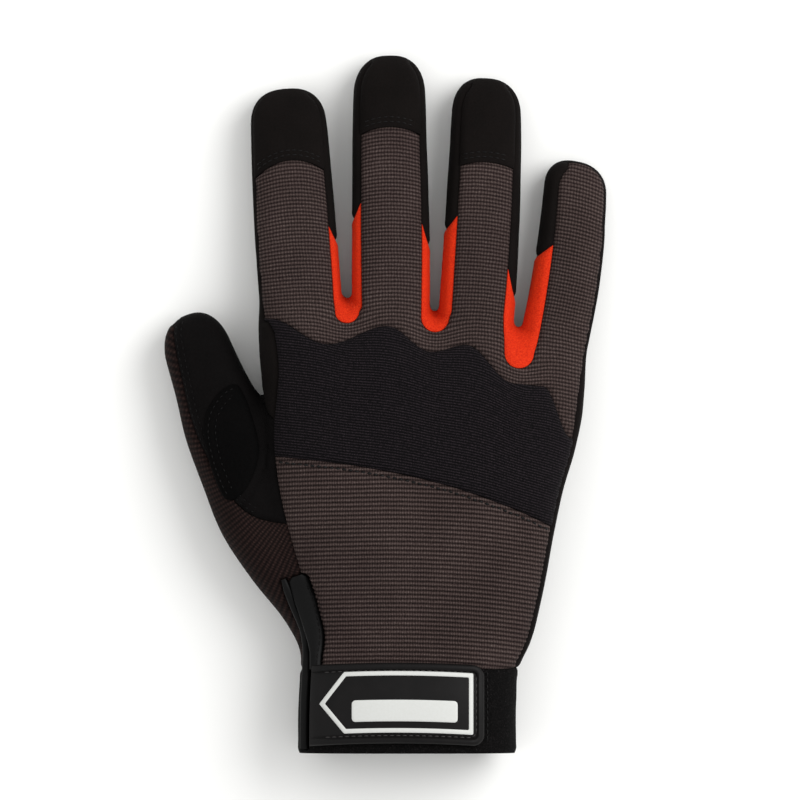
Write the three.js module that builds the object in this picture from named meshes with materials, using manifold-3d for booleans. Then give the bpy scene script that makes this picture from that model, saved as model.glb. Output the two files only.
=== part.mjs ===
// A right-hand mechanic's glove, size large, lying on its palm with the back of the hand up.
// Millimetres: +X is the little finger's side, +Y runs from the cuff to the fingertips, +Z is up.
// The origin is the middle of the glove's box, on the surface that it rests on.
//
// The glove is one hollow body, a hand with five digits in it, lofted once for the outside and once
// for the inside. Each sewn panel is the part of that wall that lies over its own outline in plan,
// and an overlay, such as the closure tab, is the same wall taken a little further out.
import * as THREE from "three";
import { mergeVertices } from "three/addons/utils/BufferGeometryUtils.js";
import Module from "manifold-3d";

const wasm = await Module();
wasm.setup();

// Driving dimensions
const HAND_LENGTH = 152; // from the cuff's mouth to the webs between the fingers
const PALM_WIDTH = 112; // across the knuckles
const PALM_THICKNESS = 37; // back to palm
const CUFF_WIDTH = 75.2;
const CUFF_THICKNESS = 39;
const CUFF_HEIGHT = 29;
const WEB_TILT = -9.5; // degrees: the knuckle line falls towards the little finger
const WALL = 1.5; // knit, suede and leather
const GAP = 0.3; // left between neighbouring pieces
const PALM_SEAM = 8.5; // height of the seam round the palm
const HAND_SHOULDER = 14; // the side walls of the hand stand up to this height
const FINGER_SHOULDER = 9.8; // and the fingers' to this one
const SIDE_REACH = 0.6; // share of a finger's width that clears its wall and not its neighbour's
const SIDE_OVERLAP = 0.15; // and the share that a wall's end reaches past the finger's axis
const GUSSET_SLANT = 0.5; // slope of the stretch gussets' ends
const REST_SINK = 3; // how far a full round palm would reach below the surface that flattens it

const CAP_PROUD = 0.6; // the fingertip caps are thicker than the knit beside them
const CAP_HEM_BOW = 2.2; // rise of a cap's hem at the middle of the finger
const KNUCKLE_PROUD = 1.1; // padding of the knuckle panel
const PATCH_THICKNESS = 1.1; // thumb reinforcement
const BINDING_WIDTH = 3.2; // rolled edge at the wrist slit
const GUSSET_WIDTH = 5.6; // smooth inner gusset of the wrist slit
const BINDING_HEIGHT = 2.6;
const BINDING_SINK = 0.5; // its middle line stands this much above the glove's outside

const TAB_LENGTH = 60.6; // moulded closure tab
const TAB_HEIGHT = 27.8;
const TAB_THICKNESS = 1.8;
const TAB_CORNER = 4;
const TAB_RISE = 16.6; // the tab's middle above the cuff's mouth
const TAB_OFFSET = -3.7; // and to the right of the cuff's middle
const RIM_WIDTH = 2.2; // raised welt round the tab
const RIM_HEIGHT = 0.8;
const FRAME_MARGIN = 1.6; // from the welt to the white line frame
const FRAME_LINE = 1.5;
const FRAME_POINT = 8.5; // reach of the frame's point at its sewn end
const PRINT_THICKNESS = 0.5;
const FIELD_LEFT_MARGIN = 11.2; // from the frame's point to the write-on field
const FIELD_RIGHT_MARGIN = 5.4;
const FIELD_LOWER_MARGIN = 3.4;
const FIELD_HEIGHT = 7.4;
const FIELD_CORNER = 1.2;

// Where each digit starts, as shares of the palm's width and the hand's length, and its own sizes.
// lean turns it in degrees towards the little finger and bow carries its middle sideways. The last
// four are how much of its left and right walls shows in plan beside the knit, at root and tip.
const DIGITS = {
  index: {
    across: -0.306, along: 0.8, length: 108, width: 28.4, thickness: 21,
    lean: -4, bow: 0, cap: 23, leftRoot: 2.3, leftTip: 2.3, rightRoot: 3, rightTip: 2.2,
  },
  middle: {
    across: -0.048, along: 0.778, length: 122.4, width: 26.8, thickness: 21.5,
    lean: -0.3, bow: 0, cap: 26.5, leftRoot: 3.8, leftTip: 2.8, rightRoot: 3.2, rightTip: 2.2,
  },
  ring: {
    across: 0.184, along: 0.778, length: 114.7, width: 26, thickness: 20.5,
    lean: 3.4, bow: 1.6, cap: 28.5, leftRoot: 4.8, leftTip: 4, rightRoot: 4.4, rightTip: 2.2,
  },
  little: {
    across: 0.379, along: 0.755, length: 90.5, width: 23.4, thickness: 19,
    lean: 10.1, bow: 3.3, cap: 0, leftRoot: 7, leftTip: 5, rightRoot: 2.3, rightTip: 2.3,
  },
  thumb: {
    across: -0.272, along: 0.225, length: 125.3, width: 31.5, thickness: 24,
    lean: -21.5, bow: -1.8,
  },
};
const FINGERS = ["index", "middle", "ring", "little"];
const ROOT_SHARE = 0.29; // where each finger leaves the hand, as a share of its length
const THUMB_ROOT_SHARE = 0.46; // where the thumb's own front panel starts

// Sections of a finger: where along it, and the share of its width, its underside and its top
// as shares of its thickness. The last rows round off the fingertip.
const FINGER_SECTIONS = [
  { at: 0.0, wide: 0.86, base: -0.06, top: 1.4 },
  { at: 0.16, wide: 0.98, base: 0.0, top: 1.37 },
  { at: 0.3, wide: 1.0, base: 0.1, top: 1.25 },
  { at: 0.48, wide: 1.0, base: 0.15, top: 1.1 },
  { at: 0.64, wide: 0.98, base: 0.09, top: 1.01 },
  { at: 0.78, wide: 0.95, base: 0.0, top: 0.93 },
  { at: 0.87, wide: 0.91, base: -0.03, top: 0.86 },
  { at: 0.93, wide: 0.85, base: -0.02, top: 0.78 },
  { at: 0.97, wide: 0.71, base: 0.05, top: 0.7 },
  { at: 0.992, wide: 0.45, base: 0.15, top: 0.59 },
  { at: 1.0, wide: 0.16, base: 0.27, top: 0.46 },
];

// Sections of the thumb, which starts under the hand and is fullest at its ball.
const THUMB_SECTIONS = [
  { at: 0.0, wide: 0.3, base: 0.05, top: 0.72 },
  { at: 0.12, wide: 0.42, base: -0.04, top: 0.96 },
  { at: 0.26, wide: 0.76, base: -0.1, top: 1.12 },
  { at: 0.4, wide: 0.98, base: -0.1, top: 1.14 },
  { at: 0.54, wide: 1.0, base: -0.04, top: 1.07 },
  { at: 0.68, wide: 0.97, base: 0.03, top: 1.0 },
  { at: 0.8, wide: 0.84, base: 0.03, top: 0.93 },
  { at: 0.89, wide: 0.75, base: 0.02, top: 0.86 },
  { at: 0.95, wide: 0.63, base: 0.07, top: 0.77 },
  { at: 0.985, wide: 0.42, base: 0.16, top: 0.66 },
  { at: 1.0, wide: 0.16, base: 0.27, top: 0.52 },
];

// Sections of the hand. spread runs from the cuff's width at 0 to the palm's at 1, centre is
// a share of the palm's width, heft blends the cuff's thickness at 0 into the palm's at 1,
// tilt is the share of the web's tilt, and the last rows close the end between the fingers.
const HAND_SECTIONS = [
  { at: 0.0, spread: 0.0, centre: 0.0, heft: 0, base: 0.0, top: 0.98, tilt: 0 },
  { at: 0.12, spread: 0.0, centre: 0.002, heft: 0, base: 0.0, top: 0.98, tilt: 0 },
  { at: 0.19, spread: 0.0, centre: 0.008, heft: 0.2, base: 0.0, top: 0.95, tilt: 0 },
  { at: 0.25, spread: 0.06, centre: 0.033, heft: 0.5, base: 0.02, top: 0.93, tilt: 0.05 },
  { at: 0.34, spread: 0.2, centre: 0.042, heft: 1, base: 0.0, top: 0.98, tilt: 0.12 },
  { at: 0.43, spread: 0.38, centre: 0.035, heft: 1, base: 0.0, top: 1.02, tilt: 0.25 },
  { at: 0.53, spread: 0.57, centre: 0.026, heft: 1, base: 0.0, top: 1.03, tilt: 0.4 },
  { at: 0.63, spread: 0.73, centre: 0.027, heft: 1, base: 0.0, top: 1.02, tilt: 0.55 },
  { at: 0.74, spread: 0.87, centre: 0.042, heft: 1, base: 0.02, top: 0.98, tilt: 0.75 },
  { at: 0.85, spread: 1.0, centre: 0.053, heft: 1, base: 0.04, top: 0.9, tilt: 0.9 },
  { at: 0.92, spread: 0.99, centre: 0.056, heft: 1, base: 0.07, top: 0.8, tilt: 1 },
  { at: 0.965, spread: 0.86, centre: 0.054, heft: 1, base: 0.12, top: 0.66, tilt: 1 },
  { at: 0.99, spread: 0.74, centre: 0.054, heft: 1, base: 0.18, top: 0.53, tilt: 1 },
  { at: 1.0, spread: 0.62, centre: 0.054, heft: 1, base: 0.25, top: 0.42, tilt: 1 },
];

// The scalloped seam above the knuckle panel: its peaks and valleys, from thumb side to little side,
// as shares of the palm's width and the hand's length.
const SCALLOPS = [
  { across: -0.5, along: 0.99 },
  { across: -0.425, along: 0.985 },
  { across: -0.243, along: 0.927 },
  { across: -0.063, along: 0.969 },
  { across: 0.077, along: 0.911 },
  { across: 0.18, along: 0.927 },
  { across: 0.33, along: 0.838 },
  { across: 0.42, along: 0.832 },
  { across: 0.51, along: 0.712 },
  { across: 0.56, along: 0.7 },
];

// The seam below the knuckle panel.
const KNUCKLE_HEM = [
  { across: -0.5, along: 0.68 },
  { across: -0.37, along: 0.67 },
  { across: -0.142, along: 0.65 },
  { across: 0.1, along: 0.612 },
  { across: 0.308, along: 0.56 },
  { across: 0.452, along: 0.511 },
  { across: 0.56, along: 0.46 },
];

// Low points of the seams round the webs, between each finger and the next, as the same shares.
const WEBS = [
  { name: "index_middle", left: "index", right: "middle", across: -0.185, along: 0.977, wide: 0.082 },
  { name: "middle_ring", left: "middle", right: "ring", across: 0.087, along: 0.958, wide: 0.0875 },
  { name: "ring_little", left: "ring", right: "little", across: 0.354, along: 0.874, wide: 0.107 },
];

// How far up each finger its stretch gussets run, on its thumb side and on its little side.
const GUSSET_ENDS = {
  index: { right: 0.53 },
  middle: { left: 0.58, right: 0.54 },
  ring: { left: 0.57, right: 0.41 },
  little: { left: 0.65 },
};

// The thumb's seams in plan. knit is the edge of the knit that runs up its back and round its ball
// to the hand, crotch parts its leather from the hand's side, and patch is its reinforcement.
const THUMB_SEAMS = {
  knit: [
    { across: -0.7, along: 1.03 },
    { across: -0.715, along: 0.96 },
    { across: -0.692, along: 0.845 },
    { across: -0.664, along: 0.755 },
    { across: -0.63, along: 0.687 },
    { across: -0.574, along: 0.61 },
    { across: -0.53, along: 0.563 },
    { across: -0.468, along: 0.535 },
    { across: -0.4, along: 0.522 },
    { across: -0.33, along: 0.515 },
  ],
  crotch: [
    { across: -0.51, along: 1.1 },
    { across: -0.482, along: 0.9 },
    { across: -0.448, along: 0.82 },
    { across: -0.441, along: 0.788 },
    { across: -0.423, along: 0.762 },
    { across: -0.36, along: 0.735 },
  ],
  patch: [
    { across: -0.49, along: 0.79 },
    { across: -0.525, along: 0.835 },
    { across: -0.575, along: 0.818 },
    { across: -0.614, along: 0.775 },
    { across: -0.624, along: 0.73 },
    { across: -0.614, along: 0.68 },
    { across: -0.592, along: 0.627 },
    { across: -0.555, along: 0.575 },
    { across: -0.505, along: 0.59 },
    { across: -0.468, along: 0.64 },
    { across: -0.456, along: 0.7 },
  ],
};

// The wrist slit: the rolled binding runs from its point down to the cuff's mouth, and the smooth
// gusset lies between it and the knit. inset is from the glove's left side, as a share of the cuff.
const SLIT = {
  binding: [
    { inset: 0.16, along: 0.392 },
    { inset: 0.108, along: 0.335 },
    { inset: 0.06, along: 0.278 },
    { inset: 0.034, along: 0.233 },
    { inset: 0.036, along: 0.19 },
    { inset: 0.036, along: 0.12 },
    { inset: 0.036, along: 0.06 },
    { inset: 0.036, along: 0.01 },
  ],
  gusset: [
    { inset: 0.226, along: 0.4 },
    { inset: 0.179, along: 0.345 },
    { inset: 0.131, along: 0.285 },
    { inset: 0.1, along: 0.24 },
    { inset: 0.093, along: 0.196 },
  ],
};

// Facets
const DIGIT_SIDES = 12;
const HAND_SIDES = 20;
const BINDING_SIDES = 8;
const ROUND_STEPS = 6;
const SEAM_STEPS = 22;
const DIGIT_SQUARENESS = 2.5; // 2 is an ellipse, and more is nearer a rounded box
const HAND_SQUARENESS = 2.7;
const LEAST_HALF = 0.35; // no section is thinner than this, half across

// Heights and reaches that clear the whole glove
const ABOVE = 3 * PALM_THICKNESS;
const BELOW = -PALM_THICKNESS;
const FAR = 2 * HAND_LENGTH;

const radians = THREE.MathUtils.degToRad;
const lerp = THREE.MathUtils.lerp;

// Finishes
const finish = (color, roughness) => new THREE.MeshStandardMaterial({ color, roughness, metalness: 0 });
const RIB_KNIT = finish("#4a4140", 0.95);
const NEOPRENE = finish("#17171b", 0.85);
const SUEDE = finish("#141312", 0.9);
const LEATHER = finish("#121111", 0.85);
const ORANGE_SPANDEX = finish("#e8360c", 0.8);
const SMOOTH_BINDING = finish("#101113", 0.45);
const LOOP_FABRIC = finish("#0e0e0f", 0.98);
const MOULDED_RUBBER = finish("#141313", 0.55);
const WHITE_PRINT = finish("#e4e4e0", 0.5);

// Solids

function solidFrom(geometry) {
  geometry.deleteAttribute("normal");
  geometry.deleteAttribute("uv");
  const merged = mergeVertices(geometry, 1e-4);
  return new wasm.Manifold(
    new wasm.Mesh({
      numProp: 3,
      vertProperties: merged.attributes.position.array,
      triVerts: new Uint32Array(merged.index.array),
    }),
  );
}

function geometryFrom(solid) {
  const mesh = solid.getMesh();
  const geometry = new THREE.BufferGeometry();
  geometry.setAttribute("position", new THREE.BufferAttribute(mesh.vertProperties, 3));
  geometry.setIndex(new THREE.BufferAttribute(mesh.triVerts, 1));
  geometry.computeVertexNormals();
  return geometry;
}

const join = (solids) => solids.reduce((all, next) => all.add(next));

// A closed body through rings of points that run anticlockwise seen from the last ring.
function loft(rings) {
  const sides = rings[0].length;
  const corners = rings.flat();
  const faces = [];
  rings.slice(1).forEach((_, row) => {
    for (let i = 0; i < sides; i++) {
      const a = row * sides + i;
      const b = row * sides + ((i + 1) % sides);
      faces.push(a, b, b + sides, a, b + sides, a + sides);
    }
  });
  [rings[0], rings.at(-1)].forEach((ring, end) => {
    const first = end ? (rings.length - 1) * sides : 0;
    const hub = corners.length;
    corners.push(ring.reduce((sum, p) => sum.add(p), new THREE.Vector3()).divideScalar(sides));
    for (let i = 0; i < sides; i++) {
      const pair = [first + i, first + ((i + 1) % sides)];
      faces.push(hub, ...(end ? pair : pair.reverse()));
    }
  });
  const geometry = new THREE.BufferGeometry().setFromPoints(corners);
  geometry.setIndex(faces);
  return solidFrom(geometry);
}

// A ring round a flattened tube: a rounded box between a base and a top height, flat where it rests
// on the surface. inset moves it in from the outside.
function ring(centre, side, halfWidth, base, top, inset, squareness, sides) {
  const half = Math.max(halfWidth - inset, LEAST_HALF);
  const tall = Math.max((top - base) / 2 - inset, LEAST_HALF);
  const power = 2 / squareness;
  return Array.from({ length: sides }, (_, i) => {
    const turn = (-2 * Math.PI * i) / sides;
    const u = half * Math.sign(Math.cos(turn)) * Math.abs(Math.cos(turn)) ** power;
    const v = tall * Math.sign(Math.sin(turn)) * Math.abs(Math.sin(turn)) ** power;
    const height = Math.max((top + base) / 2 + v, inset);
    return new THREE.Vector3(centre.x + side.x * u, centre.y + side.y * u, height);
  });
}

// A prism that stands over an outline in plan.
function prism(outline, low = BELOW, high = ABOVE) {
  const points = outline.map((p) => new THREE.Vector2(p.x, p.y));
  if (THREE.ShapeUtils.isClockWise(points)) points.reverse();
  const geometry = new THREE.ExtrudeGeometry(new THREE.Shape(points), {
    depth: high - low,
    bevelEnabled: false,
  });
  return solidFrom(geometry.translate(0, 0, low));
}

// Places in plan

const corner = (x, y) => new THREE.Vector2(x, y);

const planPoint = ({ across, along }) => new THREE.Vector2(across * PALM_WIDTH, along * HAND_LENGTH);

const smoothLine = (table, steps, place = planPoint) =>
  new THREE.SplineCurve(table.map(place)).getPoints(steps);

// The way ahead along a line at one of its points.
function aheadAt(line, i) {
  const before = line[Math.max(0, i - 1)];
  const after = line[Math.min(line.length - 1, i + 1)];
  return after.clone().sub(before).normalize();
}

// A line carried over to its left by a distance.
function offsetLine(line, distance) {
  return line.map((p, i) => {
    const ahead = aheadAt(line, i);
    return corner(p.x - ahead.y * distance, p.y + ahead.x * distance);
  });
}

function digitAxis(digit, at) {
  const root = planPoint(digit);
  const turn = radians(digit.lean);
  const ahead = new THREE.Vector2(Math.sin(turn), Math.cos(turn));
  const side = new THREE.Vector2(ahead.y, -ahead.x);
  const reach = at * digit.length;
  return root.addScaledVector(ahead, reach).addScaledVector(side, digit.bow * 4 * at * (1 - at));
}

function digitSide(digit, at) {
  const step = 0.01;
  const ahead = digitAxis(digit, at + step).sub(digitAxis(digit, at - step)).normalize();
  return new THREE.Vector2(ahead.y, -ahead.x);
}

const sectionsOf = (name) => (name === "thumb" ? THUMB_SECTIONS : FINGER_SECTIONS);

const shares = (from, to, steps) =>
  Array.from({ length: steps + 1 }, (_, i) => lerp(from, to, i / steps));

function between(table, at, column) {
  const next = Math.max(1, table.findIndex((row) => row.at >= at));
  const [low, high] = [table[next - 1], table[next]];
  return lerp(low[column], high[column], (at - low.at) / (high.at - low.at));
}

// The edge of a finger's back in plan, on its right for hand 1 and its left for hand -1.
function digitEdge(name, at, hand, margin) {
  const digit = DIGITS[name];
  const [root, tip] = hand > 0 ? [digit.rightRoot, digit.rightTip] : [digit.leftRoot, digit.leftTip];
  const half = (digit.width / 2) * between(FINGER_SECTIONS, at, "wide");
  const reach = Math.max(half - lerp(root, tip, at), LEAST_HALF) + margin;
  return digitAxis(digit, at).addScaledVector(digitSide(digit, at), hand * reach);
}

// The whole glove's form

function digitLoft(name, inset) {
  const digit = DIGITS[name];
  const rings = sectionsOf(name).map(({ at, wide, base, top }) => {
    const reach = (inset + at * (digit.length - 2 * inset)) / digit.length;
    return ring(
      digitAxis(digit, reach),
      digitSide(digit, reach),
      (digit.width / 2) * wide,
      base * digit.thickness,
      top * digit.thickness,
      inset,
      DIGIT_SQUARENESS,
      DIGIT_SIDES,
    );
  });
  return loft(rings);
}

function handRow(row) {
  const turn = radians(WEB_TILT * row.tilt);
  return {
    centre: new THREE.Vector2(row.centre * PALM_WIDTH, row.at * HAND_LENGTH),
    side: new THREE.Vector2(1, Math.tan(turn)),
    half: lerp(CUFF_WIDTH, PALM_WIDTH, row.spread) / 2,
    thickness: lerp(CUFF_THICKNESS, PALM_THICKNESS, row.heft),
  };
}

function handLoft(inset) {
  const lastRow = HAND_SECTIONS.length - 1;
  const rings = HAND_SECTIONS.map((row, i) => {
    const { centre, side, half, thickness } = handRow(row);
    if (i === 0 && inset > 0) centre.y -= CUFF_HEIGHT / 2;
    if (i === lastRow) centre.y -= inset;
    const base = row.base * thickness - REST_SINK;
    return ring(centre, side, half, base, row.top * thickness, inset, HAND_SQUARENESS, HAND_SIDES);
  });
  return loft(rings);
}

const forms = new Map();

function form(inset) {
  if (!forms.has(inset)) {
    const digits = Object.keys(DIGITS).map((name) => digitLoft(name, inset));
    forms.set(inset, join([handLoft(inset), ...digits]));
  }
  return forms.get(inset);
}

// The wall between two insets. A negative inset lies outside the glove.
const skin = (outer, inner) => form(outer).subtract(form(inner));

const outside = form(0);
const shell = skin(0, WALL);

// The glove's outside as a mesh that rays can find
const outsideMesh = new THREE.Mesh(geometryFrom(outside), new THREE.MeshBasicMaterial());

function hit(x, y, z, direction) {
  const ray = new THREE.Raycaster(new THREE.Vector3(x, y, z), direction);
  return ray.intersectObject(outsideMesh)[0].point;
}

const heightAt = (p) => hit(p.x, p.y, ABOVE, new THREE.Vector3(0, 0, -1)).z;

// A place in plan at an inset from the glove's left side.
function slitPoint({ inset, along }) {
  const y = along * HAND_LENGTH;
  const side = hit(-FAR, y, HAND_SHOULDER, new THREE.Vector3(1, 0, 0)).x;
  return corner(side + inset * CUFF_WIDTH, y);
}

const slitLine = (table) => smoothLine(table, SEAM_STEPS / 2, slitPoint);

// A rolled strip that lies half sunk in the glove's back.
function rolledStrip(table, width) {
  const line = slitLine(table);
  const rings = line.map((middle, i) => {
    const ahead = aheadAt(line, i);
    const height = heightAt(middle) + BINDING_SINK;
    return Array.from({ length: BINDING_SIDES }, (_, k) => {
      const turn = (-2 * Math.PI * k) / BINDING_SIDES;
      const u = (width / 2) * Math.cos(turn);
      const v = (BINDING_HEIGHT / 2) * Math.sin(turn);
      return new THREE.Vector3(middle.x + ahead.y * u, middle.y - ahead.x * u, height + v);
    });
  });
  return loft(rings);
}

// The room that a rolled strip's neighbours leave for it.
function stripRoom(table, width) {
  const line = slitLine(table);
  line[0].addScaledVector(aheadAt(line, 0), -GAP);
  line.at(-1).addScaledVector(aheadAt(line, line.length - 1), GAP);
  const reach = width / 2 + GAP;
  return prism([...offsetLine(line, reach), ...offsetLine(line, -reach).reverse()], HAND_SHOULDER);
}

// Outlines of the panels in plan. A margin grows each one where its neighbour is cut away.

const farLeft = [corner(-FAR, -FAR), corner(-FAR, FAR)];
const farRight = [corner(FAR, -FAR), corner(FAR, FAR)];
const everywhere = (low, high) => prism([...farLeft, ...farRight.toReversed()], low, high);

// Everything between two lines that run towards the fingertips.
const betweenLines = (left, right) => prism([...left, ...right.toReversed()]);

// Everything on the fingertips' side of a line that runs across the hand.
function beyondLine(line, lift) {
  const raised = offsetLine(line, lift);
  const ends = [corner(-FAR, raised[0].y), corner(FAR, raised.at(-1).y)];
  return prism([ends[0], ...raised, ends[1], farRight[1], farLeft[1]]);
}

// The left or right edge of the hand, less a strip, from the cuff up to a share of its length.
function handEdge(hand, strip, to) {
  const rows = HAND_SECTIONS.filter((row) => row.at <= to);
  return rows.map((row) => {
    const { centre, side, half } = handRow(row);
    return centre.addScaledVector(side, hand * (half - strip));
  });
}

// The seam under a web, from the left finger's edge to the right one's.
function webArc(web, margin) {
  const low = planPoint(web);
  const radius = (web.wide * PALM_WIDTH) / 2;
  return shares(Math.PI, 2 * Math.PI, ROUND_STEPS).map((turn) => {
    const reach = radius - margin;
    return corner(low.x + reach * Math.cos(turn), low.y + radius + reach * Math.sin(turn));
  });
}

// The back of one finger in plan, from its root out past its tip.
function fingerStrip(name, margin) {
  const steps = shares(ROOT_SHARE, 0.97, 10);
  const left = steps.map((at) => digitEdge(name, at, -1, margin));
  const right = steps.map((at) => digitEdge(name, at, 1, margin));
  const digit = DIGITS[name];
  const beyond = digitAxis(digit, 1.2);
  return [...left, beyond, ...right.reverse()];
}

// The back of the hand and its fingers in plan: everything inside the side walls.
function backArea(margin) {
  const left = handEdge(-1, DIGITS.index.leftRoot - margin, 0.8);
  const right = handEdge(1, DIGITS.little.rightRoot - margin, 0.75);
  const ends = WEBS.flatMap((web) => [
    digitEdge(web.left, ROOT_SHARE, 1, margin),
    ...webArc(web, margin),
    digitEdge(web.right, ROOT_SHARE, -1, margin),
  ]);
  const hand = prism(
    [
      corner(left[0].x, -FAR),
      ...left,
      digitEdge("index", ROOT_SHARE, -1, margin),
      ...ends,
      digitEdge("little", ROOT_SHARE, 1, margin),
      ...right.reverse(),
      corner(right.at(-1).x, -FAR),
    ],
    HAND_SHOULDER - margin,
  );
  const fingers = FINGERS.map((name) => prism(fingerStrip(name, margin), FINGER_SHOULDER - margin));
  return join([hand, ...fingers]);
}

// A seam that swings smoothly from each peak to the next valley.
function scallopLine(table) {
  const points = table.map(planPoint);
  const swings = points.slice(1).flatMap((next, i) => {
    const p = points[i];
    const steps = shares(0, 1, 4).slice(1);
    return steps.map((t) => corner(lerp(p.x, next.x, t), lerp(p.y, next.y, (1 - Math.cos(Math.PI * t)) / 2)));
  });
  return [points[0], ...swings];
}

// Across one finger from its cap's hem out past its tip. The hem bows towards the tip.
function capArea(name, margin) {
  const digit = DIGITS[name];
  const at = 1 - (digit.cap + margin) / digit.length;
  const side = digitSide(digit, at);
  const ahead = corner(-side.y, side.x);
  const hem = shares(-0.5, 0.5, ROUND_STEPS).map((t) =>
    digitAxis(digit, at)
      .addScaledVector(side, t * digit.width)
      .addScaledVector(ahead, CAP_HEM_BOW * (1 - 4 * t * t)),
  );
  const end = (hand) => digitAxis(digit, 1.3).addScaledVector(side, (hand * digit.width) / 2);
  return prism([...hem, end(1), end(-1)]);
}

// One side of a finger beyond the end of its stretch gusset, which slants down to the outside.
function beyondGusset(name, hand, margin) {
  const digit = DIGITS[name];
  const beside = (at, reach) =>
    digitAxis(digit, at).addScaledVector(digitSide(digit, at), hand * reach * digit.width);
  const start = GUSSET_ENDS[name][hand > 0 ? "right" : "left"] + margin / digit.length;
  const slant = (SIDE_REACH * digit.width * GUSSET_SLANT) / digit.length;
  const inner = shares(start, 1.25, 5).map((at) => beside(at, -SIDE_OVERLAP));
  return prism([...inner, beside(1.25, SIDE_REACH), beside(start - slant, SIDE_REACH)]);
}

// Everything to the left of a line that runs down the hand from the fingertips' end.
function leftOf(line, margin, endX = 0) {
  const edge = offsetLine(line, margin);
  return prism([...farLeft, ...edge, corner(endX, edge.at(-1).y), corner(endX, -FAR)]);
}

// One digit in plan from a share of its length out past its tip.
function digitArea(name, from, margin) {
  const digit = DIGITS[name];
  const reach = SIDE_REACH * digit.width + margin;
  const beside = (at, hand) =>
    digitAxis(digit, at).addScaledVector(digitSide(digit, at), hand * reach);
  const steps = shares(from - margin / digit.length, 1.25, 6);
  return prism([...steps.map((at) => beside(at, -1)), ...steps.reverse().map((at) => beside(at, 1))]);
}

const half = GAP / 2;
const axisLine = (name) => shares(0, 1.25, 10).map((at) => digitAxis(DIGITS[name], at));
const cuffLine = [corner(-PALM_WIDTH, CUFF_HEIGHT), corner(PALM_WIDTH, CUFF_HEIGHT)];
const aboveCuff = beyondLine(cuffLine, half);
const cuffArea = everywhere(BELOW, ABOVE).subtract(beyondLine(cuffLine, -half));

// Panels

const bindingRoom = stripRoom(SLIT.binding, BINDING_WIDTH);
const slitGusset = rolledStrip(SLIT.gusset, GUSSET_WIDTH).subtract(bindingRoom);
const slitRoom = bindingRoom.add(stripRoom(SLIT.gusset, GUSSET_WIDTH));

const upper = everywhere(PALM_SEAM + half, ABOVE).intersect(aboveCuff).subtract(slitRoom);
const back = backArea(-half).intersect(upper);
const sideWall = shell.intersect(upper).subtract(backArea(half));

function backPanels() {
  const scallops = scallopLine(SCALLOPS);
  const hem = smoothLine(KNUCKLE_HEM, SEAM_STEPS);
  const capped = FINGERS.filter((name) => DIGITS[name].cap);
  const capRoom = join(capped.map((name) => capArea(name, half)));
  const knit = shell.intersect(back);
  const knuckle = beyondLine(hem, half).subtract(beyondLine(scallops, -half));
  const caps = capped.map((name) => {
    const area = capArea(name, -half).intersect(back);
    return [`${name}_tip_cap`, skin(-CAP_PROUD, WALL).intersect(area), SUEDE];
  });
  return [
    ["finger_back_knit", knit.intersect(beyondLine(scallops, half)).subtract(capRoom), RIB_KNIT],
    ["knuckle_panel", skin(-KNUCKLE_PROUD, WALL).intersect(back).intersect(knuckle), NEOPRENE],
    ["hand_back_knit", knit.subtract(beyondLine(hem, -half)), RIB_KNIT],
    ...caps,
  ];
}

function fingerSides() {
  return WEBS.flatMap((web) => {
    const walls = sideWall.intersect(betweenLines(axisLine(web.left), axisLine(web.right)));
    const room = beyondGusset(web.left, 1, -half).add(beyondGusset(web.right, -1, -half));
    return [
      [`web_${web.name}`, walls.subtract(room), ORANGE_SPANDEX],
      [`${web.left}_right_side`, walls.intersect(beyondGusset(web.left, 1, half)), SUEDE],
      [`${web.right}_left_side`, walls.intersect(beyondGusset(web.right, -1, half)), SUEDE],
    ];
  });
}

function handSides() {
  const middle = corner(0, -FAR);
  const left = sideWall.intersect(betweenLines(farLeft, [middle, ...axisLine("index")]));
  const right = sideWall.intersect(betweenLines([middle, ...axisLine("little")], farRight));
  const crotch = smoothLine(THUMB_SEAMS.crotch, ROUND_STEPS);
  const knit = smoothLine(THUMB_SEAMS.knit, SEAM_STEPS);
  const thumb = left.intersect(leftOf(crotch, -half));
  const patch = smoothLine([...THUMB_SEAMS.patch, THUMB_SEAMS.patch[0]], SEAM_STEPS).slice(1);
  const patchSkin = skin(-GAP - PATCH_THICKNESS, -GAP).intersect(prism(patch, PALM_SEAM));
  return [
    ["index_left_side", left.subtract(leftOf(crotch, half)), SUEDE],
    ["thumb_leather", thumb.subtract(leftOf(knit, half)), LEATHER],
    ["thumb_knit", thumb.intersect(leftOf(knit, -half)), RIB_KNIT],
    ["thumb_patch", patchSkin, LEATHER],
    ["little_right_side", right, SUEDE],
  ];
}

// A plate with rounded corners, standing on the cuff between two corners of its box in plan.
function roundedPlate([left, low], [right, high], radius) {
  const middles = [
    [right - radius, high - radius],
    [left + radius, high - radius],
    [left + radius, low + radius],
    [right - radius, low + radius],
  ];
  const outline = middles.flatMap(([x, y], quarter) => {
    const turns = shares((quarter * Math.PI) / 2, ((quarter + 1) * Math.PI) / 2, ROUND_STEPS / 2);
    return turns.map((turn) => corner(x + radius * Math.cos(turn), y + radius * Math.sin(turn)));
  });
  return prism(outline, HAND_SHOULDER);
}

// The frame's outline, with its point at the tab's sewn end. The line itself is its outer band.
function frameOutline([left, low], [right, high], inset) {
  const shoulder = left + FRAME_POINT;
  const outline = [
    corner(right - inset, low + inset),
    corner(right - inset, high - inset),
    corner(shoulder + inset / 2, high - inset),
    corner(left + inset, (low + high) / 2),
    corner(shoulder + inset / 2, low + inset),
  ];
  return prism(outline, HAND_SHOULDER);
}

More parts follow.
